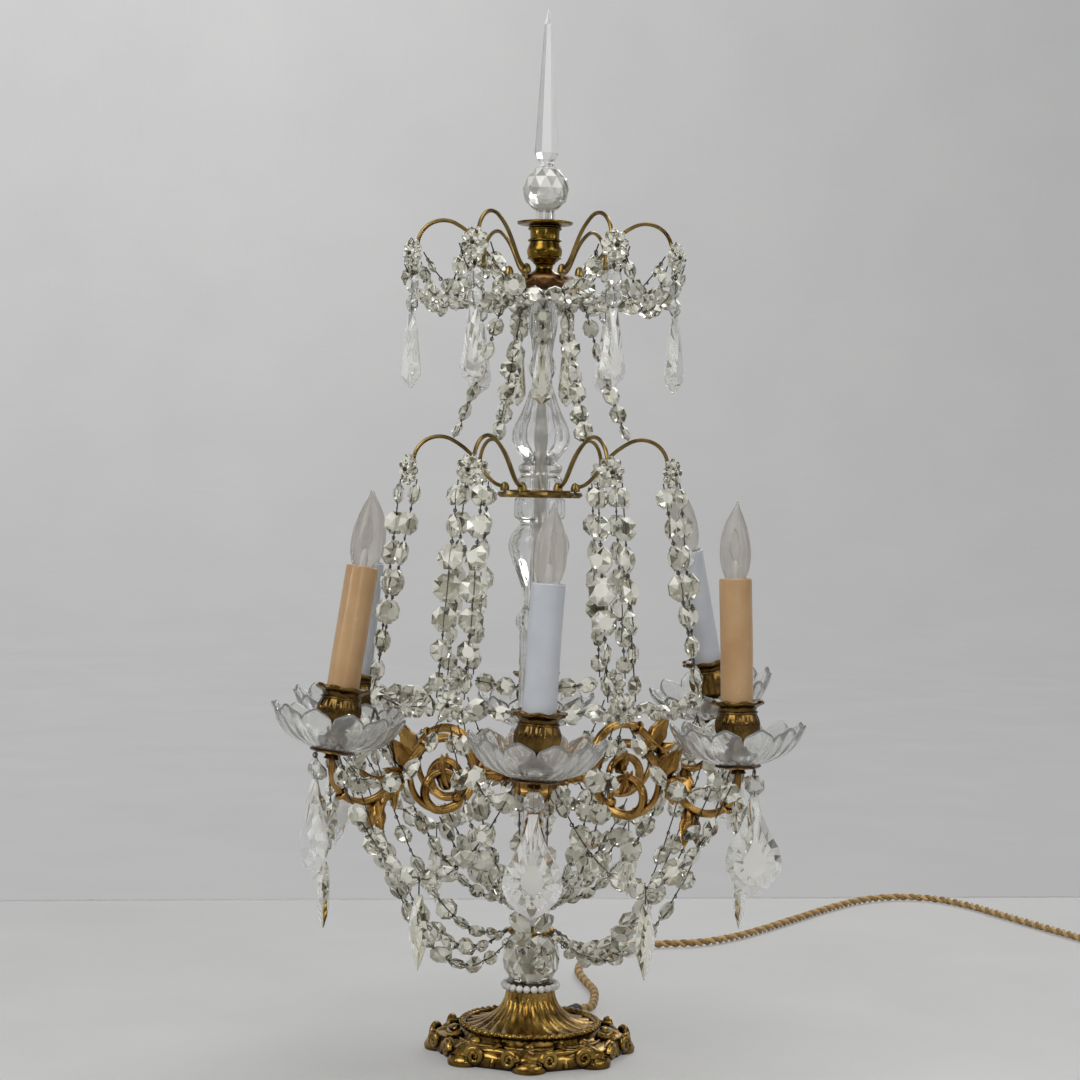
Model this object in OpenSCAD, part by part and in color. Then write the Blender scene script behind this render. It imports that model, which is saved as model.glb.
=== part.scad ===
// Girandole candle holder: a gilt foot, a glass stem on a threaded tube, six scroll arms with
// electric candles, two tiers of hooks and strings of cut-glass beads. Millimetres, +Z up,
// origin on the table under the centre of the foot, front towards -Y.

/* [Foot] */
// Radius of the foot across its scroll lobes
foot_r = 70; // [66:0.5:76]
// Height of the foot up to the bead collar
foot_h = 40; // [36:0.5:48]
// Radius of the foot's plain shoulder
shoulder_r = 61; // [58:0.5:64]
// Height of the scroll border
border_h = 12; // [11:0.5:14]
// Radius of the beaded step above the shoulder
step_r = 42; // [38:0.5:46]
// Rise from the border to the beaded step
step_rise = 6; // [5:0.5:8]
// Radius of the neck at the top of the foot
neck_r = 16; // [15:0.5:18]
// Wall of the cast foot
foot_wall = 3; // [2.5:0.5:4]
// Number of scroll lobes
lobe_count = 8; // [6:1:10]
// Radius of one scroll lobe
lobe_r = 13; // [11:0.5:15]
// Width of the ledge that the bottom plate is screwed to
ledge_w = 7; // [6:0.5:9]
// Depth of the recess for the bottom plate
recess_h = 4; // [3.5:0.5:5]
// Thickness of the bottom plate
plate_t = 1.5; // [1:0.5:2]
// Diameter of the bottom plate's screws
screw_d = 3; // [2.5:0.5:3.5]

/* [Stem] */
// Outside diameter of the threaded tube
tube_d = 8; // [7:0.5:8.5]
// Bore of the threaded tube
tube_bore = 5; // [4.5:0.1:5.5]
// Diameter of the lead inside the tube
lead_d = 4.4; // [3.8:0.1:4.4]
// Diameter of one white bead of the collar
collar_bead_d = 4.6; // [4:0.2:5.2]
// Number of white beads in the collar
collar_beads = 22; // [18:1:22]
// Diameter of the cut-glass ball
ball_d = 38; // [34:0.5:42]
// Height of the ball between its flats
ball_h = 30; // [26:0.5:32]
// Radius of the brass cap on the ball
cap_r = 15; // [13:0.5:17]
// Height of the brass cap
cap_h = 7; // [5:0.5:9]
// Height of the lower glass spindle
spindle_h = 78; // [70:1:90]
// Greatest radius of the lower glass spindle
spindle_r = 14; // [11:0.5:16]
// Radius of the arm hub
hub_r = 22; // [20:0.5:25]
// Height of the arm hub
hub_h = 42; // [38:1:50]
// Height of the plain glass shaft
shaft_h = 72; // [60:1:84]
// Radius of the plain glass shaft
shaft_r = 11.5; // [9:0.5:13]
// Height of the lower glass baluster
baluster_h = 86; // [78:1:94]
// Greatest radius of the lower glass baluster
baluster_r = 20; // [17:0.5:22]
// Height of the fluted vase
vase_h = 76; // [68:1:84]
// Greatest radius of the fluted vase
vase_r = 19; // [16:0.5:22]
// Height of the upper glass column
column_h = 55; // [48:1:62]
// Radius of the upper glass column
column_r = 7.5; // [7:0.5:9]

/* [Tiers] */
// Radius of the middle ring plate
ring_r = 28; // [26:0.5:31]
// Thickness of the middle ring plate
ring_t = 4; // [3:0.5:5]
// Radius of the crown plate
crown_r = 28; // [26:0.5:31]
// Thickness of the crown plate
crown_t = 10; // [8:0.5:12]
// Diameter of the hook wire
hook_d = 3; // [2.5:0.1:3.4]
// Radius at which the hooks are riveted to their plate
hook_root_r = 23; // [21:0.5:24]
// Radius of a hook's round crook
crook_r = 17; // [14:0.5:19]
// Radius from the axis to the middle of the crooks
crook_at = 66; // [60:1:72]
// Height of the middle of a crook above its plate
crook_up = 18; // [15:0.5:22]
// Length of a hook's straight end below its crook
hook_drop = 5; // [3:0.5:8]
// Diameter of the glass rosettes
rosette_d = 21; // [17:0.5:23]
// Thickness of the glass rosettes
rosette_t = 4; // [3:0.5:5]
// Radius at which the lower rosettes hang
low_rosette_r = 104; // [98:1:108]
// Height of the lower rosettes
low_rosette_z = 232; // [226:1:240]
// Turn of each hook's rosettes about the tip of the hook, in degrees
rosette_turn = [0, -40, 0, 0, 40, 0]; // [-50:5:50]

/* [Finial] */
// Height of the brass cup under the finial
top_cup_h = 35; // [30:0.5:40]
// Radius of the rim of that cup
top_cup_r = 18; // [15:0.5:20]
// Radius of the finial's stub in the cup
stub_r = 6.5; // [5.5:0.1:7]
// Depth of the stub in the cup
stub_depth = 14; // [10:0.5:18]
// Height of the stub between the rim and the ball
stub_up = 6; // [4:0.5:8]
// Diameter of the finial ball
finial_d = 31; // [28:0.5:34]
// Height of the spire above the ball
spire_h = 104; // [90:1:115]
// Width of the spire at its foot
spire_w = 17; // [14:0.5:19]
// Height of the collar under the spire
spire_collar_h = 4.5; // [3:0.5:6]

/* [Arms] */
// Radius from the axis to the candles
arm_r = 146; // [140:1:152]
// Height of the arm studs above the foot of the hub
stud_up = 21; // [18:0.5:24]
// Diameter of the arm's cast rod
arm_d = 7; // [6:0.5:8]
// Radius of the inner scroll
scroll_r = 23; // [20:0.5:24]
// Place of the scroll's middle as a share of the arm's reach
scroll_share = 0.466; // [0.45:0.002:0.48]
// Radius of the curl inside the scroll
curl_r = 12; // [10:0.5:13]
// Radius of the outer bend under the candle
bend_r = 22; // [20:0.5:24]
// Height of the middle of the outer bend above the stud
bend_up = 4; // [2:0.5:6]
// Height of the candle disc above the stud
disc_up = 14; // [12:0.5:18]
// Radius of the disc under the glass pan
disc_r = 14.5; // [13:0.5:16]
// Thickness of that disc
disc_t = 2; // [1.5:0.5:3]
// Upward tilt of each arm, in degrees
arm_tilt = [0, 1, 9, 0, 2, 3]; // [0:0.5:10]
// Extra inward lean of each candle, in degrees
candle_lean = [0, 1, 4, 0, 4, 6]; // [0:0.5:8]
// Sideways lean of each candle, in degrees
candle_side = [3, 0, 0, 0, 0, 0]; // [-5:0.5:5]

/* [Candles] */
// Radius of the glass drip pan
pan_r = 43; // [40:0.5:46]
// Height of the glass drip pan
pan_h = 24; // [20:0.5:28]
// Glass thickness of the drip pan
pan_t = 2.5; // [2:0.5:3.5]
// Number of scallops on its rim
pan_scallops = 12; // [8:1:14]
// Height of the brass candle cup
cup_h = 38; // [34:0.5:42]
// Radius of the rim of the candle cup
cup_rim_r = 16.5; // [15:0.5:18]
// Depth of the socket in the candle cup
socket_depth = 20; // [16:0.5:22]
// Diameter of the candle sleeve
sleeve_d = 20.5; // [19.5:0.1:21]
// Length of the candle sleeve
sleeve_h = 95; // [80:1:110]
// Wall of the candle sleeve
sleeve_wall = 1.4; // [1:0.1:1.6]
// Wall of the lampholder
holder_wall = 1; // [0.8:0.1:1.2]
// Depth of the bulb's cap in the lampholder
bulb_cap_h = 22; // [18:0.5:26]
// Diameter of the bulb's glass
bulb_d = 19.4; // [18:0.1:20.5]
// Height of the bulb's glass
bulb_h = 48; // [42:0.5:54]

/* [Crystals] */
// Diameter of the wire of the strings
wire_d = 1.2; // [0.8:0.1:1.4]
// Thickness of a bead as a share of its diameter
bead_share = 0.42; // [0.3:0.01:0.5]
// Diameter of the beads in the middle of a festoon
bead_d = 16; // [12:0.5:17]
// Sag of the swags between the crown hooks
crown_sag = 26; // [20:1:32]
// Sag of the chains from the crown down to the middle hooks
chain_sag = 6; // [4:1:10]
// Sag of the strings from the crown out to its rosettes
spoke_sag = 20; // [14:1:24]
// Sag of the strings from one low rosette to the next
belt_sag = 5; // [3:1:8]
// Sag of the strings from under the scrolls in to the spindle
under_sag = 14; // [10:1:18]
// Length of the short chains under the crown
inner_l = 36; // [32:1:42]
// Length of the drops on the short chains
inner_drop_l = 40; // [34:1:46]
// Sag of the festoons from the candles up to the low rosettes
festoon_sag = 26; // [20:1:30]
// Sag of the lower swags between the candles
swag_sag = 66; // [58:1:72]
// Sag of the strings from the candles in to the cap
basket_sag = 44; // [40:1:50]
// Sag of the strings from the low rosettes in to the spindle
inner_sag = 34; // [28:1:40]
// Length of the pear drops on the arms
pear_l = 62; // [54:1:68]
// Width of the pear drops
pear_w = 36; // [30:1:38]
// Thickness of the pear drops
pear_t = 12; // [8:0.5:14]
// Length of the crown's drops
prism_l = 49; // [42:1:54]
// Width of the crown's drops
prism_w = 19; // [14:0.5:22]
// Thickness of the crown's drops
prism_t = 9; // [7:0.5:10]
// Length of the spear drops on the lower swags
spear_l = 46; // [38:1:52]
// Width of the spear drops
spear_w = 14; // [10:0.5:18]
// Thickness of the spear drops
spear_t = 8; // [6:0.5:9]

/* [Cord] */
// Diameter of the twisted cord
cord_d = 6.5; // [5.5:0.1:6.6]
// Height of the cord gland above the table
gland_z = 9; // [8.8:0.1:9.5]
// Outside diameter of the cord gland
gland_d = 9; // [8.6:0.1:9.4]
// Turns in each layer of the coil
coil_turns = 2; // [1:1:3]
// Outer radius of the coil's middle line
coil_r = 41; // [38:1:50]
// Step between the coil's turns
coil_step = 7.2; // [7:0.1:9]
// Length of the plug's body
plug_l = 34; // [28:1:40]
// Length of the plug's pins
pin_l = 19; // [17:0.5:20]
// Diameter of the plug's pins
pin_d = 4; // [4:0.1:4.8]
// Distance between the plug's pins
pin_gap = 18; // [17.5:0.1:19]

/* [Hidden] */
// Six arms, six hooks in each tier
arm_count = 6;
// Clearance between pieces that seat on each other
seat_gap = 0.3;
// Clearance round a tube, stub, stud or sleeve
slide_fit = 0.3;

// Numbered names of the pieces that come once for each arm or hook
function numbered(name) = [for (k = [1:arm_count]) str(name, "_", k)];

// Heights along the stem, each piece on the one below
step_z = border_h + step_rise;
collar_h = collar_bead_d + 0.4;
ball_z = foot_h + collar_h;
cap_z = ball_z + ball_h;
spindle_z = cap_z + cap_h;
hub_z = spindle_z + spindle_h;
shaft_z = hub_z + hub_h;
baluster_z = shaft_z + shaft_h;
ring_z = baluster_z + baluster_h;
vase_z = ring_z + ring_t;
column_z = vase_z + vase_h;
crown_z = column_z + column_h;
top_cup_z = crown_z + crown_t;
rim_z = top_cup_z + top_cup_h;
finial_z = rim_z + stub_up;
finial_flat = 1;
spire_z = finial_z + finial_d - finial_flat;
tube_hole = tube_d + 2 * slide_fit;
nut_h = 6.5;
nut_w = 15;
tube_tail = 4;
tube_grip = 8;
tube_z = foot_h - foot_wall - nut_h - tube_tail;
tube_end = top_cup_z + tube_grip;

// Foot
hollow_r = shoulder_r - foot_wall - ledge_w;
recess_r = shoulder_r - foot_wall;
plate_r = recess_r - slide_fit;
screw_at = hollow_r + ledge_w / 2;
screw_count = 3;
screw_bite = 5;
screw_head_d = 2 * screw_d - 0.5;
screw_head_h = 1.6;
trumpet_steps = 6;
block_size = [30, 16, 12];

// Arms and candles: r outwards, t sideways, z up
arm_z = hub_z + stud_up;
stud_d = 5;
stud_l = 9;
boss_d = 11;
arm_sides = 8;
pivot_r = hub_r + seat_gap + boss_d / 2;
scroll_at = arm_r * scroll_share;
scroll_z = arm_z;
bend_at = arm_r - bend_r;
bend_z = arm_z + bend_up;
disc_z = arm_z + disc_up;
pan_bore = 4.6;
cup_spigot_r = pan_bore - slide_fit;
sleeve_z = pan_t + cup_h - socket_depth;
sleeve_top = sleeve_z + sleeve_h;
holder_r = sleeve_d / 2 - sleeve_wall - slide_fit;
holder_bore = holder_r - holder_wall;
bulb_cap_r = holder_bore - slide_fit;
cream_arms = [1, 5];
white_arms = [0, 2, 3, 4];
hang_r = disc_r - 2;
hang_drop = disc_t + seat_gap + wire_d / 2;

function arm_azimuth(k) = -90 + k * 360 / arm_count;
function hook_azimuth(j) = arm_azimuth(j) + 180 / arm_count;
function polar(r, azimuth, t, z) =
    [r * cos(azimuth) - t * sin(azimuth), r * sin(azimuth) + t * cos(azimuth), z];

// A point of arm k, tilted about its stud
function arm_point(k, r, t, z) =
    let (dr = r - pivot_r, dz = z - arm_z, a = arm_tilt[k])
    polar(pivot_r + dr * cos(a) - dz * sin(a), arm_azimuth(k), t, arm_z + dr * sin(a) + dz * cos(a));

// A point v given from the middle of the disc of candle k
function candle_point(k, v) =
    let (s = candle_side[k], a = candle_lean[k])
    let (y = v[1] * cos(s) + v[2] * sin(s), z = v[2] * cos(s) - v[1] * sin(s))
    arm_point(k, arm_r + v[0] * cos(a) - z * sin(a), y, disc_z + v[0] * sin(a) + z * cos(a));

// A hanging point under the disc of candle k, at an angle round it from the outward side
function hang_point(k, angle) =
    candle_point(k, [hang_r * cos(angle), hang_r * sin(angle), -hang_drop]);

module at_arm(k) {
    rotate([0, 0, arm_azimuth(k)])
        translate([pivot_r, 0, arm_z])
            rotate([0, -arm_tilt[k], 0])
                translate([-pivot_r, 0, -arm_z])
                    children();
}

module at_candle(k) {
    at_arm(k)
        translate([arm_r, 0, disc_z])
            rotate([-candle_side[k], -candle_lean[k], 0])
                children();
}

// Hooks: the tip hangs outside the crook, the leg runs straight to the rivet
hook_up = seat_gap + hook_d;
tip_d = 4;
crown_lip = 2;
tip_r = crook_at + crook_r;
rivet_d = 2.2;
ferrule_l = 3;
function tip_z(plate_top) = plate_top + crook_up - hook_drop;
rosette_in = tip_r + tip_d / 2 + seat_gap;
string_side = 9;
low_side = 10;
string_spread = 6;
spear_link = 10;

// A point in the middle of the thickness of the rosette on hook j, t across it
function rosette_facing(j) = hook_azimuth(j) + rosette_turn[j];
function rosette_point(j, t, z) = polar(tip_r, hook_azimuth(j), 0, z)
    + polar(rosette_in - tip_r + rosette_t * 0.3, rosette_facing(j), t, 0);

// Drops swing on a loop of wire a little below what carries them
loop_gap = 0.8;
pear_bead = 13;
prism_bead = 12;
loop_l = 3;
drop_at = hang_r - 1;
function pear_pivot(k) = candle_point(k, [drop_at, 0, -disc_t - loop_gap]);
function crown_pivot(j) = rosette_point(j, 0, tip_z(top_cup_z) - rosette_d / 2 - loop_gap);

// Cord: out of the gland, over the table and into the coil
gland_azimuth = 67.5;
gland_bore = cord_d + 0.5;
gland_flange_d = gland_d + 4;
gland_flange_t = 2;
gland_taper = 20;
gland_in = hollow_r - 2;
gland_mouth = shoulder_r + slide_fit + gland_flange_t + gland_taper;
cord_inside = 4;
cord_ahead = 8;
lay_z = cord_d / 2 + 0.05;
route_sides = 10;
route_steps = 3;
route_on_table = [
    [45, 130], [46, 165], [40, 200], [36, 233], [40, 268], [53, 303], [76, 330], [106, 343],
    [136, 352], [162, 374], [190, 410], [225, 463], [263, 520], [298, 562], [332, 580], [362, 574],
    [386, 547], [408, 502], [429, 456], [450, 411], [468, 372]];
route = concat(
    [polar(gland_mouth - cord_inside, gland_azimuth, 0, gland_z),
     polar(gland_mouth + cord_ahead, gland_azimuth, 0, gland_z - 1)],
    [[42, 105, 5]],
    [for (p = route_on_table) [p[0], p[1], lay_z]]);
coil_heading = -65;
coil_gap = 0.2;
coil_tail = 14;
coil_sides = 6;
coil_rings = 24;
layer_rise = cord_d + 0.6;
coil_start = route[len(route) - 1];

function heading_vector(a) = [cos(a), sin(a), 0];
function unit(v) = v / norm(v);
function smooth(u) = u * u * (3 - 2 * u);
function clamp(u) = min(1, max(0, u));

// A smooth curve through the route's points
function route_at(i) = route[min(len(route) - 1, max(0, i))];
function route_curve(i, u) =
    let (a = route_at(i - 1), b = route_at(i), c = route_at(i + 1), d = route_at(i + 2))
    0.5 * (2 * b + (c - a) * u + (2 * a - 5 * b + 4 * c - d) * u * u + (3 * b - a - 3 * c + d) * u * u * u);
route_points = concat(
    [for (i = [0:len(route) - 2], s = [0:route_steps - 1]) route_curve(i, s / route_steps)],
    [route[len(route) - 1]]);

// The coil winds in on the table, climbs one layer and winds out again on top
coil_all = 2 * coil_turns + 0.5;
coil_lead = coil_start + (coil_gap + cord_d) * heading_vector(coil_heading);
coil_middle = coil_lead + coil_r * heading_vector(coil_heading + 90);
function coil_point(turn) =
    let (r = coil_r - coil_step * min(turn, coil_all - turn))
    let (rise = layer_rise * smooth(clamp((turn - coil_turns) / 0.5)))
    coil_middle + r * heading_vector(coil_heading - 90 + 360 * turn) + [0, 0, rise];
coil_out = coil_point(coil_all);
coil_end = coil_out + coil_tail * heading_vector(coil_heading + 180);
coil_path = concat(
    [coil_start + coil_gap * heading_vector(coil_heading)],
    [for (i = [0:coil_all * coil_rings]) coil_point(i / coil_rings)],
    [coil_end]);
coil_least = min([for (i = [0:len(coil_path) - 1], j = [i + coil_rings / 2:1:len(coil_path) - 1])
    norm(coil_path[i] - coil_path[j])]) - cord_d;
echo(coil_least_gap_to_itself = coil_least);

// Bead strings: a sagging line of flat octagons on one wire
function sag_point(a, b, sag, u) = a + (b - a) * u - [0, 0, 4 * sag * u * (1 - u)];
function outward(p) = unit([p[0], p[1], 0.001]);

module rod_between(a, b, d, sides) {
    v = b - a;
    translate(a)
        rotate([0, acos(v[2] / norm(v)), atan2(v[1], v[0])])
            cylinder(d = d, h = norm(v), $fn = sides);
}

// Turns children so that X follows the string and Z looks outwards
module on_string(p, along) {
    out = outward(p);
    z = unit(out - (out * along) * along);
    y = cross(z, along);
    multmatrix([
        [along[0], y[0], z[0], p[0]],
        [along[1], y[1], z[1], p[1]],
        [along[2], y[2], z[2], p[2]],
        [0, 0, 0, 1]])
        children();
}

module octagon_bead(d) {
    rotate([0, 0, 22.5])
        cylinder(d = d, h = d * bead_share, center = true, $fn = 8);
}

// Bead size along a string, graded from the first through the middle to the last
function graded(sizes, u) = u < 0.5
    ? sizes[0] + (sizes[1] - sizes[0]) * 2 * u
    : sizes[1] + (sizes[2] - sizes[1]) * (2 * u - 1);

// Distance between neighbouring beads at a share u of a string
function bead_pitch(a, b, sag, beads, u) =
    norm(sag_point(a, b, sag, u + 0.5 / beads) - sag_point(a, b, sag, u - 0.5 / beads));

module bead_string(a, b, sag, beads, sizes) {
    at = concat([0], [for (i = [0:beads - 1]) (i + 0.5) / beads], [1]);
    union() {
        for (i = [0:beads])
            rod_between(sag_point(a, b, sag, at[i]), sag_point(a, b, sag, at[i + 1]), wire_d, 4);
        for (i = [1:beads]) {
            p = sag_point(a, b, sag, at[i]);
            along = unit(sag_point(a, b, sag, at[i] + 0.01) - sag_point(a, b, sag, at[i] - 0.01));
            on_string(p, along)
                octagon_bead(min(bead_d * graded(sizes, at[i]),
                    bead_pitch(a, b, sag, beads, at[i]) - seat_gap));
        }
    }
}

// A round tube along points, of triangles; across is a direction that the line never follows
module swept_tube(points, d, sides, across) {
    n = len(points);
    rings = [for (i = [0:n - 1])
        let (along = unit(points[min(n - 1, i + 1)] - points[max(0, i - 1)]))
        let (side = unit(cross(along, across)), up = cross(side, along))
        for (s = [0:sides - 1])
            points[i] + d / 2 * (cos(360 * s / sides) * side + sin(360 * s / sides) * up)];
    walls = [for (i = [0:n - 2], s = [0:sides - 1])
        let (a = i * sides + s, b = i * sides + (s + 1) % sides)
        each [[a, b, b + sides], [a, b + sides, a + sides]]];
    first = [for (s = [1:sides - 2]) [0, s + 1, s]];
    last = [for (s = [1:sides - 2]) [0, s, s + 1] + (n - 1) * sides * [1, 1, 1]];
    polyhedron(rings, concat(walls, first, last));
}

// A tapering flat-cut drop hanging from its top, widest at a share of its length
function drop_outline(l, w, wide_at, top_w) = [
    [-top_w / 2, 0], [-w / 2, -l * (wide_at - 0.12)], [-w / 2, -l * (wide_at + 0.1)],
    [0, -l],
    [w / 2, -l * (wide_at + 0.1)], [w / 2, -l * (wide_at - 0.12)], [top_w / 2, 0]];

module cut_drop(l, w, t, wide_at, top_w) {
    face = 0.55;
    rotate([90, 0, 90])
        hull() {
            linear_extrude(1, center = true)
                polygon(drop_outline(l, w, wide_at, top_w));
            translate([0, -l * wide_at * (1 - face), 0])
                linear_extrude(t, center = true)
                    polygon(face * drop_outline(l, w, wide_at, top_w));
        }
}

// Outer line of the foot from the step to the neck, drawn in by an inset
function trumpet(inset) = [for (i = [0:trumpet_steps])
    let (a = 90 * i / trumpet_steps)
    [neck_r + (step_r - neck_r) * (1 - sin(a)) - inset, step_z + (foot_h - step_z) * (1 - cos(a)) - inset]];

module base_foot() {
    color("darkgoldenrod")
    difference() {
        union() {
            rotate_extrude($fn = 96)
                polygon(concat([[0, 0], [shoulder_r, 0], [shoulder_r, border_h]], trumpet(0), [[0, foot_h]]));
            for (i = [0:lobe_count - 1])
                rotate([0, 0, i * 360 / lobe_count])
                    translate([foot_r - lobe_r, 0, 0])
                        cylinder(r = lobe_r, h = border_h - 2, $fn = 48);
        }
        rotate_extrude($fn = 96)
            polygon(concat([[0, -1], [hollow_r, -1], [hollow_r, border_h - foot_wall]],
                trumpet(foot_wall), [[0, foot_h - foot_wall]]));
        translate([0, 0, -1])
            cylinder(r = recess_r, h = recess_h + 1, $fn = 96);
        cylinder(d = tube_hole, h = foot_h + 1, $fn = 48);
        plate_screw_places()
            cylinder(d = screw_d + slide_fit, h = recess_h + screw_bite + slide_fit, $fn = 24);
        along_gland(gland_in - 1, gland_d / 2 + slide_fit, gland_mouth);
    }
}

module plate_screw_places() {
    for (i = [0:screw_count - 1])
        rotate([0, 0, i * 360 / screw_count])
            translate([screw_at, 0, 0])
                children();
}

// A cylinder on the gland's line, from one radius of the foot to another
module along_gland(from_r, radius, to_r) {
    rotate([0, 0, gland_azimuth])
        translate([from_r, 0, gland_z])
            rotate([0, 90, 0])
                cylinder(r = radius, h = to_r - from_r, $fn = 48);
}

module bottom_plate() {
    color("dimgray")
    difference() {
        translate([0, 0, recess_h - plate_t])
            cylinder(r = plate_r, h = plate_t, $fn = 96);
        plate_screw_places()
            cylinder(d = screw_d + slide_fit, h = recess_h + 1, $fn = 24);
    }
}

module plate_screws() {
    color("silver")
    plate_screw_places() {
        under = recess_h - plate_t;
        translate([0, 0, under - screw_head_h])
            cylinder(d = screw_head_d, h = screw_head_h, $fn = 24);
        translate([0, 0, under])
            cylinder(d = screw_d, h = plate_t + screw_bite, $fn = 24);
    }
}

module cord_gland() {
    flange_r = shoulder_r + slide_fit;
    color("black")
    difference() {
        rotate([0, 0, gland_azimuth])
            translate([0, 0, gland_z])
                rotate([0, 90, 0])
                    rotate_extrude($fn = 48)
                        polygon([[gland_bore / 2, gland_in], [gland_d / 2, gland_in], [gland_d / 2, flange_r],
                            [gland_flange_d / 2, flange_r], [gland_flange_d / 2, flange_r + gland_flange_t],
                            [gland_d / 2 + 1, flange_r + gland_flange_t], [gland_bore / 2 + 1, gland_mouth],
                            [gland_bore / 2, gland_mouth]]);
        translate([0, 0, -10])
            cylinder(r = 2 * foot_r, h = 10 + seat_gap);
    }
}

module terminal_block() {
    color("ivory")
    translate([-block_size[0] / 2, -block_size[1] * 1.5, recess_h])
        difference() {
            cube(block_size);
            for (i = [1:3])
                translate([i * block_size[0] / 4, block_size[1] / 2, block_size[2] - 6])
                    cylinder(d = 4, h = 7, $fn = 24);
        }
}

module threaded_tube() {
    color("goldenrod")
    translate([0, 0, tube_z])
        difference() {
            cylinder(d = tube_d, h = tube_end - tube_z, $fn = 48);
            translate([0, 0, -1])
                cylinder(d = tube_bore, h = tube_end - tube_z + 2, $fn = 48);
        }
}

module inner_lead() {
    color("white")
    translate([0, 0, tube_z])
        cylinder(d = lead_d, h = arm_z - tube_z, $fn = 24);
}

module foot_nut() {
    color("silver")
    translate([0, 0, foot_h - foot_wall - nut_h])
        difference() {
            cylinder(d = nut_w, h = nut_h, $fn = 6);
            translate([0, 0, -1])
                cylinder(d = tube_hole, h = nut_h + 2, $fn = 48);
        }
}

// A turned piece of the stem: outline [r, z] from its own foot, bored for the tube
module turned(z, h, outline) {
    translate([0, 0, z])
        difference() {
            rotate_extrude($fn = 72)
                polygon(concat([[0, 0]], outline, [[0, h]]));
            translate([0, 0, -1])
                cylinder(d = tube_hole, h = h + 2, $fn = 48);
        }
}

module bead_collar() {
    ring_at = neck_r + 1;
    color("whitesmoke")
    translate([0, 0, foot_h])
        union() {
            difference() {
                cylinder(r = ring_at, h = collar_h, $fn = 72);
                translate([0, 0, -1])
                    cylinder(d = tube_hole, h = collar_h + 2, $fn = 48);
            }
            for (i = [0:collar_beads - 1])
                rotate([0, 0, i * 360 / collar_beads])
                    translate([ring_at, 0, (collar_h - collar_bead_d) / 2])
                        cylinder(d = collar_bead_d, h = collar_bead_d, $fn = 24);
        }
}

module cut_ball() {
    color("aliceblue")
    translate([0, 0, ball_z])
        difference() {
            intersection() {
                translate([0, 0, ball_h / 2])
                    sphere(d = ball_d, $fn = 64);
                cylinder(d = 2 * ball_d, h = ball_h);
            }
            translate([0, 0, -1])
                cylinder(d = tube_hole, h = ball_h + 2, $fn = 48);
        }
}

module ball_cap() {
    color("goldenrod")
    turned(cap_z, cap_h, [[cap_r - 2, 0], [cap_r, cap_h * 0.3], [cap_r, cap_h * 0.6], [cap_r - 5, cap_h]]);
}

module lower_spindle() {
    h = spindle_h;
    color("aliceblue")
    turned(spindle_z, h, [[spindle_r - 4, 0], [spindle_r - 3, h * 0.1], [spindle_r, h * 0.3],
        [spindle_r - 2, h * 0.5], [spindle_r - 6, h * 0.72], [spindle_r - 5, h * 0.9], [spindle_r - 3, h]]);
}

module arm_hub() {
    h = hub_h;
    taper = 9;
    color("darkgoldenrod")
    difference() {
        turned(hub_z, h, [[hub_r - 8, 0], [hub_r - 5, 4], [hub_r, taper], [hub_r, h - taper],
            [hub_r - 5, h - 4], [hub_r - 8, h]]);
        for (k = [0:arm_count - 1])
            rotate([0, 0, arm_azimuth(k)])
                translate([hub_r - stud_l - slide_fit, 0, arm_z])
                    rotate([0, 90, 0])
                        cylinder(d = stud_d + 2 * slide_fit, h = stud_l + 2, $fn = 32);
    }
}

module stem_shaft() {
    color("aliceblue")
    turned(shaft_z, shaft_h, [[shaft_r + 4, 0], [shaft_r + 5, 6], [shaft_r + 1, 11], [shaft_r, 16],
        [shaft_r, shaft_h]]);
}

module lower_baluster() {
    h = baluster_h;
    r = baluster_r;
    color("aliceblue")
    turned(baluster_z, h, [[r - 8, 0], [r - 6, 3], [r - 6, 8], [r - 9, 12], [r - 11, 18], [r - 9, 28], [r - 3, 44],
        [r, 54], [r - 2, 62], [r - 7, 68], [r - 7, 71], [r - 3.5, 74], [r - 3.5, h - 1], [r - 5, h]]);
}

module hook_rivet_holes(z, t) {
    for (j = [0:arm_count - 1])
        translate(polar(hook_root_r, hook_azimuth(j), 0, z - 1))
            cylinder(d = rivet_d + 2 * slide_fit, h = t + 2, $fn = 24);
}

module middle_ring() {
    color("goldenrod")
    difference() {
        turned(ring_z, ring_t, [[ring_r - 2, 0], [ring_r, ring_t / 2], [ring_r - 1, ring_t]]);
        hook_rivet_holes(ring_z, ring_t);
    }
}

module fluted_vase() {
    h = vase_h;
    r = vase_r;
    color("aliceblue")
    turned(vase_z, h, [[r - 6, 0], [r - 4.5, 3], [r - 4.5, 8], [r - 6.5, 11], [r - 5, 14], [r - 5, 17], [r - 8, 20],
        [r - 3, 27], [r, 34], [r - 1, 42], [r - 6, 52], [r - 11, 66], [r - 13, h - 4], [r - 11.5, h]]);
}

module upper_column() {
    h = column_h;
    r = column_r;
    color("aliceblue")
    turned(column_z, h, [[r, 0], [r + 1.5, 5], [r, 10], [r - 1, 14], [r, 22], [r + 2, 34], [r + 1, 44],
        [r - 0.5, h - 4], [r + 3, h]]);
}

module crown_plate() {
    color("saddlebrown")
    difference() {
        turned(crown_z, crown_t, [[crown_r - 14, 0], [crown_r - 4, crown_lip], [crown_r, crown_t * 0.4],
            [crown_r - 1, crown_t * 0.7], [crown_r - 3, crown_t]]);
        hook_rivet_holes(crown_z, crown_t);
    }
}

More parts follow.
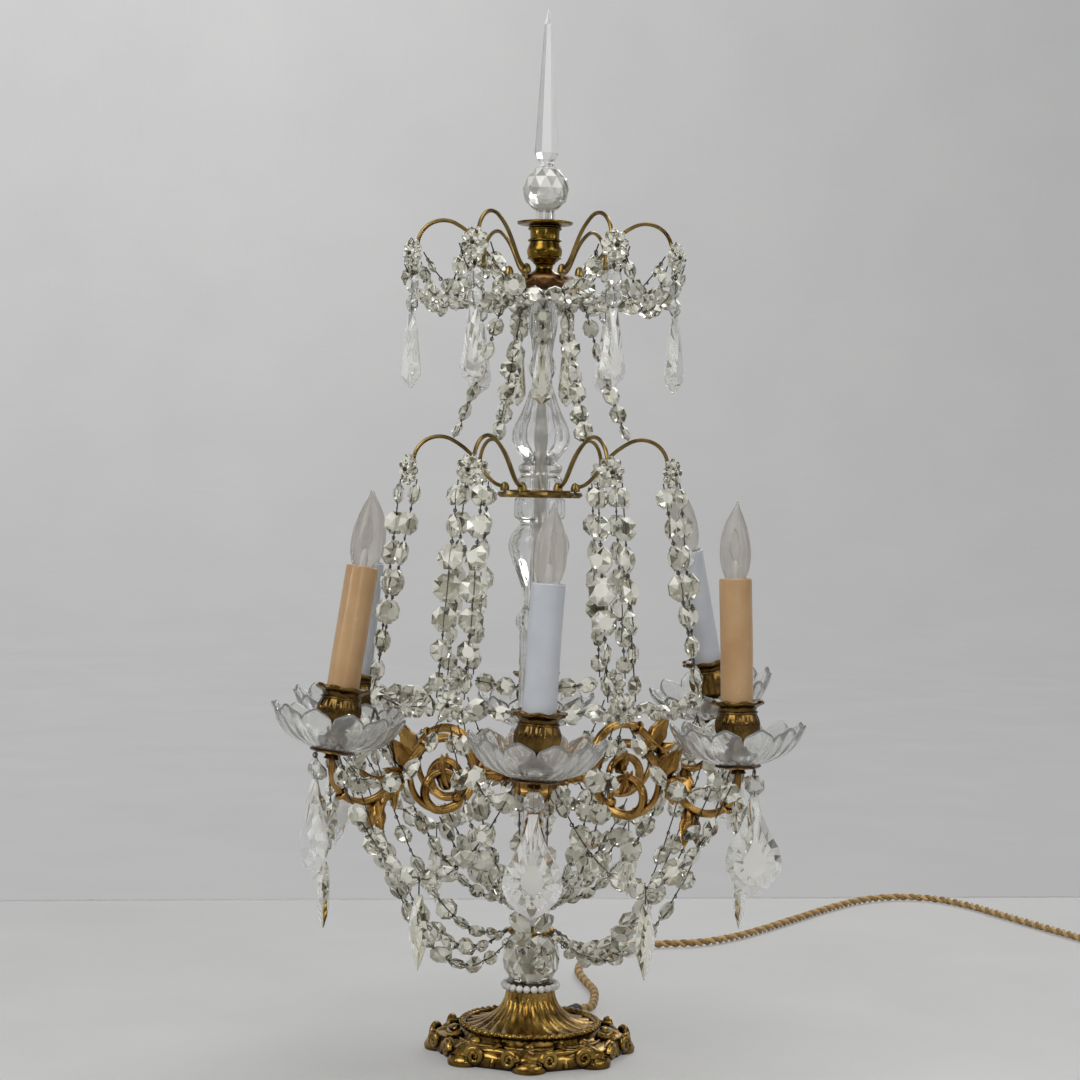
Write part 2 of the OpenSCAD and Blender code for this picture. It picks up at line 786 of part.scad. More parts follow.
module top_cup() {
    h = top_cup_h;
    color("goldenrod")
    difference() {
        translate([0, 0, top_cup_z])
            rotate_extrude($fn = 72)
                polygon([[0, 0], [top_cup_r - 7, 0], [top_cup_r - 12, 4], [top_cup_r - 12, 7], [top_cup_r - 8, 11],
                    [top_cup_r - 6.5, 16], [top_cup_r - 8, 21], [top_cup_r - 8.5, 24], [top_cup_r - 8, h - 4],
                    [top_cup_r - 1, h - 2], [top_cup_r, h], [0, h]]);
        translate([0, 0, top_cup_z - 1])
            cylinder(d = tube_hole, h = tube_grip + slide_fit + 1, $fn = 48);
        translate([0, 0, rim_z - stub_depth])
            cylinder(r = stub_r + slide_fit, h = stub_depth + 1, $fn = 48);
    }
}

module finial_ball() {
    color("aliceblue")
    intersection() {
        union() {
            translate([0, 0, finial_z + finial_d / 2])
                sphere(d = finial_d, $fn = 64);
            translate([0, 0, rim_z - stub_depth + seat_gap])
                cylinder(r = stub_r, h = stub_depth - seat_gap + stub_up + finial_d / 2, $fn = 48);
        }
        cylinder(r = finial_d, h = spire_z);
    }
}

module spire() {
    w = spire_w;
    color("aliceblue")
    translate([0, 0, spire_z])
        union() {
            cylinder(d = w - 6, h = spire_collar_h, $fn = 48);
            translate([0, 0, spire_collar_h])
                cylinder(d1 = w - 5, d2 = w, h = 4, $fn = 8);
            translate([0, 0, spire_collar_h + 4])
                cylinder(d1 = w, d2 = w * 0.36, h = spire_h - spire_collar_h - 14, $fn = 8);
            translate([0, 0, spire_h - 10])
                cylinder(d1 = w * 0.36, d2 = 0.6, h = 10, $fn = 8);
        }
}

// One hook in its own plane, X outwards, above a plate whose top is at plate_top
hook_reach = [hook_root_r - crook_at, hook_up - crook_up];
hook_touch = 360 + atan2(hook_reach[1], hook_reach[0]) - acos(crook_r / norm(hook_reach));

module hook(plate_top) {
    middle = [crook_at, 0, plate_top + crook_up];
    root = [hook_root_r, 0, plate_top + hook_up];
    touch = hook_touch;
    bend = middle + crook_r * [cos(touch), 0, sin(touch)];
    leg = unit(root - bend);
    union() {
        translate(middle)
            rotate([90, 0, 0])
                rotate_extrude(angle = touch, $fn = 64)
                    translate([crook_r, 0])
                        circle(d = hook_d, $fn = 24);
        rod_between(bend, root, hook_d, 24);
        rod_between(bend - ferrule_l / 2 * leg, bend + ferrule_l / 2 * leg, hook_d + 0.6, 24);
        translate([hook_root_r, 0, plate_top + seat_gap])
            cylinder(d = 2 * hook_d, h = 2 * hook_d, $fn = 32);
        translate([hook_root_r, 0, plate_top - ring_t])
            cylinder(d = rivet_d, h = ring_t + hook_up, $fn = 24);
        translate([tip_r, 0, tip_z(plate_top)])
            cylinder(d = hook_d, h = hook_drop, $fn = 24);
        translate([tip_r, 0, tip_z(plate_top) - tip_d / 2])
            cylinder(d = tip_d, h = tip_d, $fn = 32);
    }
}

module tier_hooks() {
    color("peru")
    for (plate_top = [vase_z, top_cup_z], j = [0:arm_count - 1])
        rotate([0, 0, hook_azimuth(j)])
            hook(plate_top);
}

// A flat glass flower on its own axis, X outwards
module rosette() {
    rotate([0, 90, 0])
        union() {
            cylinder(d = rosette_d, h = rosette_t * 0.6, $fn = 12);
            cylinder(d = rosette_d * 0.45, h = rosette_t, $fn = 8);
        }
}

module rosettes() {
    color("aliceblue")
    for (j = [0:arm_count - 1]) {
        for (plate_top = [vase_z, top_cup_z])
            translate(polar(tip_r, hook_azimuth(j), 0, tip_z(plate_top)))
                rotate([0, 0, rosette_facing(j)])
                    translate([rosette_in - tip_r, 0, 0])
                        rosette();
        rotate([0, 0, hook_azimuth(j)])
            translate([low_rosette_r, 0, low_rosette_z])
                rosette();
    }
}

// Points of the strings on the rosettes
function rosette_rim(t) = sqrt(pow(rosette_d / 2, 2) - t * t) + seat_gap + wire_d / 2;
function tier_side(j, side, plate_top) =
    rosette_point(j, side * string_side, tip_z(plate_top) - rosette_rim(string_side));
rosette_edge = rosette_d / 2 + seat_gap + wire_d / 2;
low_edge = low_rosette_z - rosette_edge;
spoke_spread = 24;
// Tilt of an arm from which its pan takes the room of the belt string behind it
belt_room = 5;
low_middle_r = low_rosette_r + rosette_t * 0.3;
function low_point(j, t, z) = polar(low_middle_r, hook_azimuth(j), t, z);
// The chains from the crown end on the ferrules of the middle hooks
ferrule_side = crook_r + hook_d / 2 + 0.3 + seat_gap + wire_d / 2;
chain_end_r = crook_at + ferrule_side * cos(hook_touch);
chain_end_z = vase_z + crook_up + ferrule_side * sin(hook_touch);
chain_r = crown_r - 4;
chain_from = crown_z + crown_lip - seat_gap - wire_d / 2;

module crown_strings() {
    color("aliceblue")
    for (j = [0:arm_count - 1]) {
        bead_string(tier_side(j, 1, top_cup_z), tier_side((j + 1) % arm_count, -1, top_cup_z),
            crown_sag, 6, [0.8, 1, 0.8]);
        bead_string(polar(chain_r, hook_azimuth(j), 0, chain_from),
            polar(chain_end_r, hook_azimuth(j), 0, chain_end_z), chain_sag, 7, [0.7, 0.9, 0.8]);
        for (side = [-1, 1])
            bead_string(polar(chain_r, hook_azimuth(j) + side * spoke_spread, 0, chain_from),
                rosette_point(j, side * rosette_edge, tip_z(top_cup_z)),
                spoke_sag, 5, [0.6, 0.85, 0.5]);
        inner_drop(arm_azimuth(j));
    }
}

// A chain straight down from under the crown, with a drop at its end
module inner_drop(azimuth) {
    top = polar(crown_r - 9.5, azimuth, 0, crown_z + crown_lip * 0.45 - seat_gap - wire_d / 2);
    end = top - [0, 0, inner_l];
    union() {
        bead_string(top, end, 0, 3, [0.7, 0.85, 0.7]);
        translate(end + [0, 0, wire_d])
            rotate([0, 0, azimuth])
                cut_drop(inner_drop_l, prism_w - 4, prism_t, 0.62, 6);
    }
}

module curtain_strings() {
    color("aliceblue")
    for (j = [0:arm_count - 1], side = [-1, 1])
        bead_string(tier_side(j, side, vase_z),
            low_point(j, side * low_side, low_rosette_z + rosette_rim(low_side)), 0, 7,
            [0.85, 1.18, 0.74]);
}

// Angles round a candle disc, from its outward side, where strings hang
basket_angle = 135;
festoon_angle = 100;
swag_angle = 65;

module arm_garlands() {
    color("aliceblue")
    for (j = [0:arm_count - 1]) {
        next = (j + 1) % arm_count;
        bead_string(hang_point(j, festoon_angle), low_point(j, -string_spread, low_edge),
            festoon_sag, 5, [0.72, 1.18, 0.72]);
        bead_string(hang_point(next, -festoon_angle), low_point(j, string_spread, low_edge),
            festoon_sag, 5, [0.72, 1.18, 0.72]);
        lower_swag(hang_point(j, swag_angle), hang_point(next, -swag_angle), hook_azimuth(j));
        if (arm_tilt[next] < belt_room)
            bead_string(low_point(j, rosette_edge, low_rosette_z), low_point(next, -rosette_edge, low_rosette_z),
                belt_sag, 6, [0.85, 1.1, 0.85]);
    }
}

// A swag between two arms, with a spear drop from its middle bead
module lower_swag(a, b, azimuth) {
    low = sag_point(a, b, swag_sag, 0.5);
    union() {
        bead_string(a, b, swag_sag, 10, [0.85, 1, 0.85]);
        rod_between(low, low - [0, 0, spear_link], wire_d, 4);
        translate(low - [0, 0, spear_link - wire_d / 2])
            rotate([0, 0, azimuth])
                cut_drop(spear_l, spear_w, spear_t, 0.55, 5);
    }
}

module basket_strings() {
    cap_side = cap_r + seat_gap + wire_d / 2;
    cap_mid = cap_z + cap_h * 0.45;
    cap_spread = 18;
    spindle_side = spindle_r - 1.5 + seat_gap + wire_d / 2;
    spindle_mid = spindle_z + spindle_h * 0.2;
    sag_with_tilt = 2.1;
    pair_drop = 13;
    under_scroll = scroll_z - scroll_r - arm_d / 2 - seat_gap - wire_d / 2;
    belly_side = spindle_r + seat_gap + wire_d / 2;
    belly_z = spindle_z + spindle_h * 0.3;
    color("aliceblue")
    for (j = [0:arm_count - 1]) {
        for (side = [-1, 1])
            bead_string(hang_point(j, side * basket_angle),
                polar(cap_side, arm_azimuth(j) + side * cap_spread, 0, cap_mid),
                basket_sag + sag_with_tilt * arm_tilt[j] + (side > 0 ? pair_drop : 0), 10,
                [0.7, 1.06, 0.4]);
        bead_string(low_point(j, 0, low_edge), polar(spindle_side, hook_azimuth(j), 0, spindle_mid),
            inner_sag, 10, [0.72, 1.12, 0.48]);
        bead_string(arm_point(j, scroll_at, 0, under_scroll), polar(belly_side, arm_azimuth(j), 0, belly_z),
            under_sag, 5, [0.85, 1.1, 0.6]);
    }
}

// A pointed cast leaf standing on its stem, l long and w wide
module leaf(l, w, t) {
    r = (l * l / 4 + w * w / 4) / w;
    rotate([90, 0, 0])
        linear_extrude(t, center = true)
            intersection() {
                translate([r - w / 2, l / 2])
                    circle(r = r, $fn = 64);
                translate([w / 2 - r, l / 2])
                    circle(r = r, $fn = 64);
            }
}

// Points of a round bend in the arm's own plane
function bend_points(middle, radius, from, to, steps) = [for (i = [0:steps])
    let (a = from + (to - from) * i / steps)
    middle + radius * [cos(a), 0, sin(a)]];

// The arm's line: out of the curl, round the scroll and down the S to the bend under the candle
scroll = [scroll_at, 0, scroll_z];
bend = [bend_at, 0, bend_z];
cross_angle = atan2(bend_z - scroll_z, bend_at - scroll_at) + 90
    - asin((scroll_r + bend_r) / norm(bend - scroll));
leaf_at = (scroll + bend + (scroll_r - bend_r) * [cos(cross_angle), 0, sin(cross_angle)]) / 2;
arm_path = concat(
    bend_points(scroll - [0, 0, scroll_r - curl_r], curl_r, 510, 280, 12),
    bend_points(scroll, scroll_r, 270, cross_angle, 15),
    bend_points(bend, bend_r, 180 + cross_angle, 360, 10),
    [[arm_r, 0, disc_z - disc_t / 2]]);

module arm(k) {
    color("goldenrod")
    union() {
        rotate([0, 0, arm_azimuth(k)])
            translate([hub_r - stud_l, 0, arm_z])
                rotate([0, 90, 0])
                    cylinder(d = stud_d, h = pivot_r - hub_r + stud_l, $fn = 32);
        at_arm(k) {
            translate([pivot_r, 0, arm_z])
                sphere(d = boss_d, $fn = 48);
            rod_between([pivot_r, 0, arm_z], [scroll_at - scroll_r, 0, arm_z], arm_d + 1, 32);
            swept_tube(arm_path, arm_d, arm_sides, [0, 1, 0]);
            translate(leaf_at)
                rotate([0, 40, 0])
                    translate([0, 0, -6])
                        leaf(30, 14, 5);
            for (side = [-1, 1])
                translate(bend + bend_r * [cos(200 + cross_angle), 0, sin(200 + cross_angle)])
                    rotate([180 + side * 28, 0, 0])
                        leaf(15, 9, 3.5);
        }
        at_candle(k)
            translate([0, 0, -disc_t])
                cylinder(r = disc_r, h = disc_t, $fn = 64);
    }
}

// Outline of the glass drip pan from its foot
pan_foot_r = 14;
pan_bend_r = pan_r - 13;
pan_bend_h = pan_h / 4;

module drip_pans() {
    color("aliceblue")
    for (k = [0:arm_count - 1])
        at_candle(k)
            difference() {
                rotate_extrude($fn = 96)
                    polygon([[pan_bore, 0], [pan_foot_r, 0], [pan_bend_r, pan_bend_h], [pan_r, pan_h],
                        [pan_r - pan_t, pan_h], [pan_bend_r - pan_t, pan_bend_h + pan_t], [pan_foot_r, pan_t],
                        [pan_bore, pan_t]]);
                for (i = [0:pan_scallops - 1])
                    rotate([0, 0, (i + 0.5) * 360 / pan_scallops])
                        translate([pan_r - 12, 0, pan_h + 2])
                            rotate([0, 90, 0])
                                cylinder(r = 6, h = 24, $fn = 32);
            }
}

module candle_cups() {
    h = cup_h;
    color("darkgoldenrod")
    for (k = [0:arm_count - 1])
        at_candle(k)
            difference() {
                union() {
                    translate([0, 0, pan_t])
                        rotate_extrude($fn = 64)
                            polygon([[0, 0], [9, 0], [9, 3], [5.5, 7], [5.5, 10], [12.5, 15], [13.5, 24], [12, 31],
                                [cup_rim_r, h - 3], [cup_rim_r, h], [0, h]]);
                    cylinder(r = cup_spigot_r, h = pan_t + 1, $fn = 32);
                }
                translate([0, 0, sleeve_z])
                    cylinder(d = sleeve_d + 2 * slide_fit, h = h, $fn = 64);
            }
}

module lampholders() {
    floor_z = sleeve_top - bulb_cap_h - seat_gap;
    color("white")
    for (k = [0:arm_count - 1])
        at_candle(k)
            difference() {
                translate([0, 0, sleeve_z])
                    cylinder(r = holder_r, h = sleeve_h - 1, $fn = 48);
                translate([0, 0, floor_z])
                    cylinder(r = holder_bore, h = bulb_cap_h + 1, $fn = 48);
            }
}

module sleeve() {
    translate([0, 0, sleeve_z])
        difference() {
            cylinder(d = sleeve_d, h = sleeve_h, $fn = 64);
            translate([0, 0, -1])
                cylinder(r = sleeve_d / 2 - sleeve_wall, h = sleeve_h + 2, $fn = 64);
        }
}

module cream_sleeves() {
    color("burlywood")
    for (k = cream_arms)
        at_candle(k)
            sleeve();
}

module white_sleeves() {
    color("white")
    for (k = white_arms)
        at_candle(k)
            sleeve();
}

// Radius of the flame-shaped bulb as a share of its greatest, u from 0 at its foot to 1 at its tip
bulb_wide_at = 0.34;
bulb_steps = 10;
function flame(u) = u < bulb_wide_at
    ? 0.66 + 0.34 * sin(90 * u / bulb_wide_at)
    : max(0.05, pow(cos(90 * (u - bulb_wide_at) / (1 - bulb_wide_at)), 1.3));

module bulb(k) {
    glass = [for (i = [0:bulb_steps])
        let (u = i / bulb_steps)
        [bulb_d / 2 * flame(u), sleeve_top + bulb_h * u]];
    color("lightgray")
    at_candle(k)
        rotate_extrude($fn = 64)
            polygon(concat([[0, sleeve_top - bulb_cap_h], [bulb_cap_r, sleeve_top - bulb_cap_h],
                [bulb_cap_r, sleeve_top - 3]], glass, [[0, sleeve_top + bulb_h]]));
}

// Drops that swing: a wire loop, a bead and the drop, hanging from the pivot
module hanging_drop(azimuth, beads, bead_d, l, w, t, wide_at) {
    drop_z = -loop_l - beads * (bead_d + 0.5);
    color("aliceblue")
    rotate([0, 0, azimuth])
        union() {
            translate([0, 0, drop_z - 1])
                cylinder(d = wire_d, h = -drop_z + 1, $fn = 4);
            for (i = [0:beads - 1])
                translate([0, 0, -loop_l - bead_d / 2 - i * (bead_d + 0.5)])
                    rotate([0, 90, 0])
                        octagon_bead(bead_d);
            translate([0, 0, drop_z])
                cut_drop(l, w, t, wide_at, 6);
        }
}

module pear_drop(k) {
    translate(pear_pivot(k))
        hanging_drop(arm_azimuth(k), 1, pear_bead, pear_l, pear_w, pear_t, 0.66);
}

module crown_drop(j) {
    translate(crown_pivot(j))
        hanging_drop(rosette_facing(j), 2, prism_bead, prism_l, prism_w, prism_t, 0.62);
}

module cord() {
    color("darkkhaki")
    swept_tube(route_points, cord_d, route_sides, [0, 0, 1]);
}

module cord_coil() {
    color("darkkhaki")
    swept_tube(coil_path, cord_d, coil_sides, [0, 0, 1]);
}

module plug() {
    height = coil_end[2];
    neck_r = cord_d / 2 + 1.2;
    neck_l = 18;
    color("ivory")
    translate(coil_end)
        rotate([0, 0, coil_heading + 180])
            rotate([0, 90, 0])
                union() {
                    rotate_extrude($fn = 48)
                        polygon([[0, 0], [neck_r, 0], [neck_r + 1, neck_l * 0.6], [height - 1, neck_l],
                            [height, neck_l + 2], [height, neck_l + plug_l - 2], [height - 1, neck_l + plug_l],
                            [0, neck_l + plug_l]]);
                    for (side = [-1, 1])
                        translate([0, side * pin_gap / 2, neck_l + plug_l - 1])
                            cylinder(d = pin_d, h = pin_l + 1, $fn = 24);
                }
}

base_foot();
bottom_plate();
plate_screws();
cord_gland();
terminal_block();
threaded_tube();
inner_lead();
foot_nut();
bead_collar();
cut_ball();
ball_cap();
lower_spindle();
arm_hub();
stem_shaft();
lower_baluster();
middle_ring();
fluted_vase();
upper_column();
crown_plate();
tier_hooks();
rosettes();
top_cup();
finial_ball();
spire();
drip_pans();
candle_cups();
lampholders();
cream_sleeves();
white_sleeves();
crown_strings();
curtain_strings();
arm_garlands();
basket_strings();
cord();
cord_coil();
plug();
for (k = [0:arm_count - 1]) {
    arm(k);
    bulb(k);
    pear_drop(k);
    crown_drop(k);
}
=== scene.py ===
"""Girandole candle holder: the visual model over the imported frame."""
import random
from math import acos, asin, atan2, cos, degrees, pi, radians, sin, sqrt, tan, tau

import bpy
from mathutils import Matrix, Vector


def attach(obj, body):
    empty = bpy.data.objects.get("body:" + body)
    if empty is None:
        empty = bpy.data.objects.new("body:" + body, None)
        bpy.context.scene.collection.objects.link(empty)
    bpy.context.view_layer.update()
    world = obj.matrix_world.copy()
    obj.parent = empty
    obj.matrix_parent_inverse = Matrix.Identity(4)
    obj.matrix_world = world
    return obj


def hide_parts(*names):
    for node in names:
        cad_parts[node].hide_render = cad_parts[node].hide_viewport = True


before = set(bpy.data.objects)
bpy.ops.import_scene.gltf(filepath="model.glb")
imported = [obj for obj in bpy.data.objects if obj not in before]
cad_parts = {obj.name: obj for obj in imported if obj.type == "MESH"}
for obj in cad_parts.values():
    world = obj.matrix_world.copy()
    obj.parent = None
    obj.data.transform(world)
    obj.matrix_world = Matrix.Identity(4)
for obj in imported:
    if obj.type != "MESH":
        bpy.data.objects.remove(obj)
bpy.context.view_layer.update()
SEED = 11
MM = 0.001
ARM_COUNT = 6
ARMS = range(ARM_COUNT)
random.seed(SEED)
facet_dice = random.Random(SEED)
scene = bpy.context.scene

# Camera: level, a little above the candle flames, rolled a little
camera_data = bpy.data.cameras.new("camera")
camera_data.lens = 76.6
camera_data.sensor_width = 36
camera_data.shift_y = -0.046
camera = bpy.data.objects.new("camera", camera_data)
camera.location = (0, -1.5, 0.365)
camera.rotation_euler = (radians(90), radians(-1.1), 0)
scene.collection.objects.link(camera)
scene.camera = camera


# Shapes: points in millimetres, faces, and for each face a material number and if it is smooth
class Shape:
    def __init__(self):
        self.points = []
        self.faces = []
        self.kinds = []
        self.smooth = []

    def add(self, part, place=None, kind=0, smooth=True):
        points, faces = part
        start = len(self.points)
        for point in points:
            v = Vector(point)
            self.points.append(place @ v if place else v)
        for face in faces:
            self.faces.append([start + i for i in face])
            self.kinds.append(kind)
            self.smooth.append(smooth)


def make(name, shape, materials, nodes, body="stand", sharp=32):
    """One piece of the scene; each of its faces gets a number by chance, which cut glass uses."""
    mesh = bpy.data.meshes.new(name)
    mesh.from_pydata([p * MM for p in shape.points], [], shape.faces)
    for material in materials:
        mesh.materials.append(material)
    mesh.polygons.foreach_set("material_index", shape.kinds)
    mesh.set_sharp_from_angle(angle=radians(sharp))
    mesh.polygons.foreach_set("use_smooth", shape.smooth)
    tone = mesh.attributes.new("facet", "FLOAT", "FACE")
    tone.data.foreach_set("value", [facet_dice.random() for _ in shape.faces])
    mesh.update()
    obj = bpy.data.objects.new(name, mesh)
    scene.collection.objects.link(obj)
    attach(obj, body)
    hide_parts(*nodes)
    return obj


def turn(angle, axis):
    return Matrix.Rotation(radians(angle), 4, axis)


def move(x, y, z):
    return Matrix.Translation((x, y, z))


def lift(z):
    return Matrix.Translation((0, 0, z))


def up(z):
    return Vector((0, 0, z))


def clamp(u):
    return min(1, max(0, u))


def circle(r, z, corners, offset=0):
    """Corners of a level polygon, turned by a share of the step between two corners."""
    points = []
    for s in range(corners):
        a = tau * (s + offset) / corners
        points.append((r * cos(a), r * sin(a), z))
    return points


def end_caps(rows, sides):
    return [tuple(reversed(range(sides))), tuple((rows - 1) * sides + s for s in range(sides))]


def grid_faces(rows, sides, loop=False, caps=False):
    """Faces between rings of points that follow each other; loop joins the last ring to the first."""
    faces = []
    for i in range(rows if loop else rows - 1):
        near = i * sides
        far = (i + 1) % rows * sides
        for s in range(sides):
            n = (s + 1) % sides
            faces.append((near + s, near + n, far + n, far + s))
    return faces + end_caps(rows, sides) if caps else faces


def lathe(outline, sides, shift=None, loop=False, caps=False):
    """Turns [r, z] pairs about Z; shift(angle, r, z) gives the place of each point."""
    points = []
    for r, z in outline:
        for s in range(sides):
            a = tau * s / sides
            far, high = shift(a, r, z) if shift else (r, z)
            points.append((far * cos(a), far * sin(a), high))
    return points, grid_faces(len(outline), sides, loop, caps)


def rounded(outline, steps=4):
    """A smoother outline through the given [r, z] pairs."""
    last = len(outline) - 1
    result = []
    for i in range(last):
        a, b, c, d = (Vector(outline[min(last, max(0, j))]) for j in (i - 1, i, i + 1, i + 2))
        for s in range(steps):
            u = s / steps
            v = 2 * b + (c - a) * u + (2 * a - 5 * b + 4 * c - d) * u ** 2 + (3 * b - a - 3 * c + d) * u ** 3
            result.append(tuple(v / 2))
    return result + [tuple(outline[last])]


def frames_along(path):
    """Each point of a path with two directions across it, which turn as little as they can."""
    places = []
    across = None
    for i, point in enumerate(path):
        along = (path[min(len(path) - 1, i + 1)] - path[max(0, i - 1)]).normalized()
        if across is None:
            across = along.orthogonal()
        across = (across - along * across.dot(along)).normalized()
        other = along.cross(across)
        places.append((point, across, other))
    return places


def tube(path, radius, sides=8):
    """A round tube; radius is a number or a function of the share of the path."""
    path = [Vector(p) for p in path]
    points = []
    for i, (point, across, other) in enumerate(frames_along(path)):
        r = radius(i / (len(path) - 1)) if callable(radius) else radius
        for s in range(sides):
            a = tau * s / sides
            points.append(point + (across * cos(a) + other * sin(a)) * r)
    return points, grid_faces(len(path), sides, caps=True)


def ball(d, sides=12, rows=8):
    outline = []
    for i in range(1, rows):
        a = pi * i / rows
        outline.append((d / 2 * sin(a), -d / 2 * cos(a)))
    return lathe(outline, sides, caps=True)


def pebble(l, w, h):
    """A rounded lump, l along X."""
    points, faces = ball(1, 14, 10)
    return [(x * l, y * w, z * h) for x, y, z in points], faces


def ring(radius, thick, sides=48, round_sides=8, shift=None):
    outline = []
    for i in range(round_sides):
        a = tau * i / round_sides
        outline.append((radius + thick * cos(a), thick * sin(a)))
    return lathe(outline, sides, shift, loop=True)


def leaf(l, w, t, curl=0.0, lobes=4):
    """A cast leaf with a ribbed face, growing along Z in the XZ plane; curl bends its tip to +Y."""
    rows = 4 * lobes
    shares = (-1, -0.55, 0, 0.55, 1)
    points = []
    for side in (1, -1):
        for i in range(rows + 1):
            u = i / rows
            half = w / 2 * sin(pi * (0.1 + 0.9 * u) ** 0.8) * (0.82 + 0.18 * abs(sin(pi * lobes * u)))
            bend = curl * u * u
            z = l * u * (1 - 0.25 * abs(curl) / l * u)
            for share in shares:
                relief = t / 2 * (1 - 0.55 * abs(share)) * (1 - 0.6 * u)
                ridge = 0.28 * t * cos(tau * share) * (1 - u)
                points.append((half * share, bend - side * (relief + 0.2) + ridge, z))
    across = len(shares)
    layer = (rows + 1) * across
    faces = []
    for i in range(rows):
        for j in range(across - 1):
            a = i * across + j
            faces.append((a, a + 1, a + across + 1, a + across))
            faces.append((layer + a + across, layer + a + across + 1, layer + a + 1, layer + a))
        for j in (0, across - 1):
            a = i * across + j
            edge = (a, a + across, layer + a + across, layer + a)
            faces.append(edge if j == 0 else tuple(reversed(edge)))
    return points, faces


def spiral(radius, turns, steps, grow=0.25):
    """Points of a scroll in the XZ plane, winding in from its outer end at +X."""
    path = []
    for i in range(steps + 1):
        u = i / steps
        r = radius * (1 - (1 - grow) * u)
        path.append((r * cos(tau * turns * u), 0, r * sin(tau * turns * u)))
    return path


# Materials: colours vary by noise on the object, and on cut glass from facet to facet with painted
# reflections and highlights, so nothing is one flat tone
def colour_of(values):
    return (*values, 1)


def shader_of(material):
    return material.node_tree.nodes["Principled BSDF"]


def feed(node, **inputs):
    """Gives inputs, such as From Min by the name from_min, a value or the output of another node."""
    for name, value in inputs.items():
        socket = node.inputs[name.replace("_", " ").title()]
        if isinstance(value, bpy.types.NodeSocket):
            node.id_data.links.new(value, socket)
        else:
            socket.default_value = value


def add_node(nodes, kind, **inputs):
    node = nodes.new("ShaderNode" + kind)
    feed(node, **inputs)
    return node


def add_range(nodes, value, **inputs):
    return add_node(nodes, "MapRange", value=value, **inputs).outputs["Result"]


def add_mix(nodes, factor, a, b, blend="MIX"):
    mix = nodes.new("ShaderNodeMix")
    mix.data_type = "RGBA"
    mix.blend_type = blend
    feed(mix, factor=factor, a=a, b=b)
    return mix.outputs["Result"]


def add_ramp(nodes, level, stops, kind="LINEAR"):
    """A colour ramp through stops of level and colour."""
    ramp = add_node(nodes, "ValToRGB", fac=level)
    ramp.color_ramp.interpolation = kind
    elements = ramp.color_ramp.elements
    while len(elements) < len(stops):
        elements.new(1)
    for element, (position, colour) in zip(elements, stops):
        element.position = position
        element.color = colour_of(colour)
    return ramp.outputs["Color"]


def paint(name, dark, light, scale, metallic=0.0, rough=(0.3, 0.45), recess_shade=None, bump=0.0, depth_mm=9):
    """A surface of two tones, with bump the height of its grain; a recess colour is painted shade, mixed in
    where ambient occlusion finds hollows.
    """
    material = bpy.data.materials.new(name)
    material.use_nodes = True
    nodes = material.node_tree.nodes
    shader = shader_of(material)
    coords = add_node(nodes, "TexCoord")
    noise = add_node(nodes, "TexNoise", vector=coords.outputs["Object"], scale=scale, detail=4).outputs["Fac"]
    colour = add_ramp(nodes, noise, ((0.32, dark), (0.68, light)))
    # Painted shade: hollows that ambient occlusion finds go towards the recess colour
    if recess_shade:
        shade = add_node(nodes, "AmbientOcclusion", distance=depth_mm * MM)
        depth = add_range(nodes, shade.outputs["AO"], from_min=0.25, from_max=0.95)
        colour = add_mix(nodes, depth, colour_of(recess_shade), colour)
    spread = add_range(nodes, noise, to_min=rough[0], to_max=rough[1])
    feed(shader, base_color=colour, roughness=spread, metallic=metallic)
    if bump:
        height = add_node(nodes, "Bump", height=noise, strength=0.5, distance=bump)
        feed(shader, normal=height.outputs["Normal"])
    return material


def glass(name, dark, light, scale, rough=(0.0, 0.03), clear=1.0, alpha=1.0, bend=1.5):
    material = paint(name, dark, light, scale, 0, rough)
    shader = shader_of(material)
    feed(shader, transmission_weight=clear, alpha=alpha)
    shader.inputs["IOR"].default_value = bend
    return material


def cut_glass(name, stops):
    """Glass whose facets differ: the number on a face picks a stop of level, colour and clearness; dark stops
    are painted reflections and milky, less clear ones painted highlights.
    """
    material = glass(name, (0.9, 0.9, 0.9), (1, 1, 1), 130, (0.0, 0.04), 1, 1, 1.54)
    nodes = material.node_tree.nodes
    facet = add_node(nodes, "Attribute")
    facet.attribute_name = "facet"
    number = facet.outputs["Fac"]
    tints_and_reflections = add_ramp(nodes, number, [(level, tint_and_reflection) for level, tint_and_reflection, clear in stops], "CONSTANT")
    clearness = add_ramp(nodes, number, [(level, 3 * (clear,)) for level, tint_and_reflection, clear in stops], "CONSTANT")
    feed(shader_of(material), base_color=tints_and_reflections, transmission_weight=clearness)
    return material


# Painted shade: the seventh value of each gilt is the dark colour put into its hollows
gilt = paint(
    "gilt", (0.18, 0.092, 0.019), (0.58, 0.37, 0.095), 90, 1, (0.16, 0.34), (0.012, 0.006, 0.002), 0.0006, 15,
)
arm_gilt = paint(
    "arm_gilt", (0.22, 0.11, 0.028), (0.64, 0.385, 0.115), 80, 1, (0.17, 0.34), (0.03, 0.013, 0.004), 0.0006,
)
cup_gilt = paint(
    "cup_gilt", (0.062, 0.035, 0.011), (0.23, 0.137, 0.038), 80, 1, (0.14, 0.3),
    (0.014, 0.008, 0.003), 0.0005,
)
top_gilt = paint(
    "top_gilt", (0.11, 0.064, 0.010), (0.34, 0.22, 0.035), 80, 1, (0.14, 0.3), (0.02, 0.012, 0.004), 0.0005,
)
bronze = paint("bronze", (0.11, 0.073, 0.024), (0.36, 0.245, 0.078), 70, 1, (0.22, 0.4), None, 0.0002)
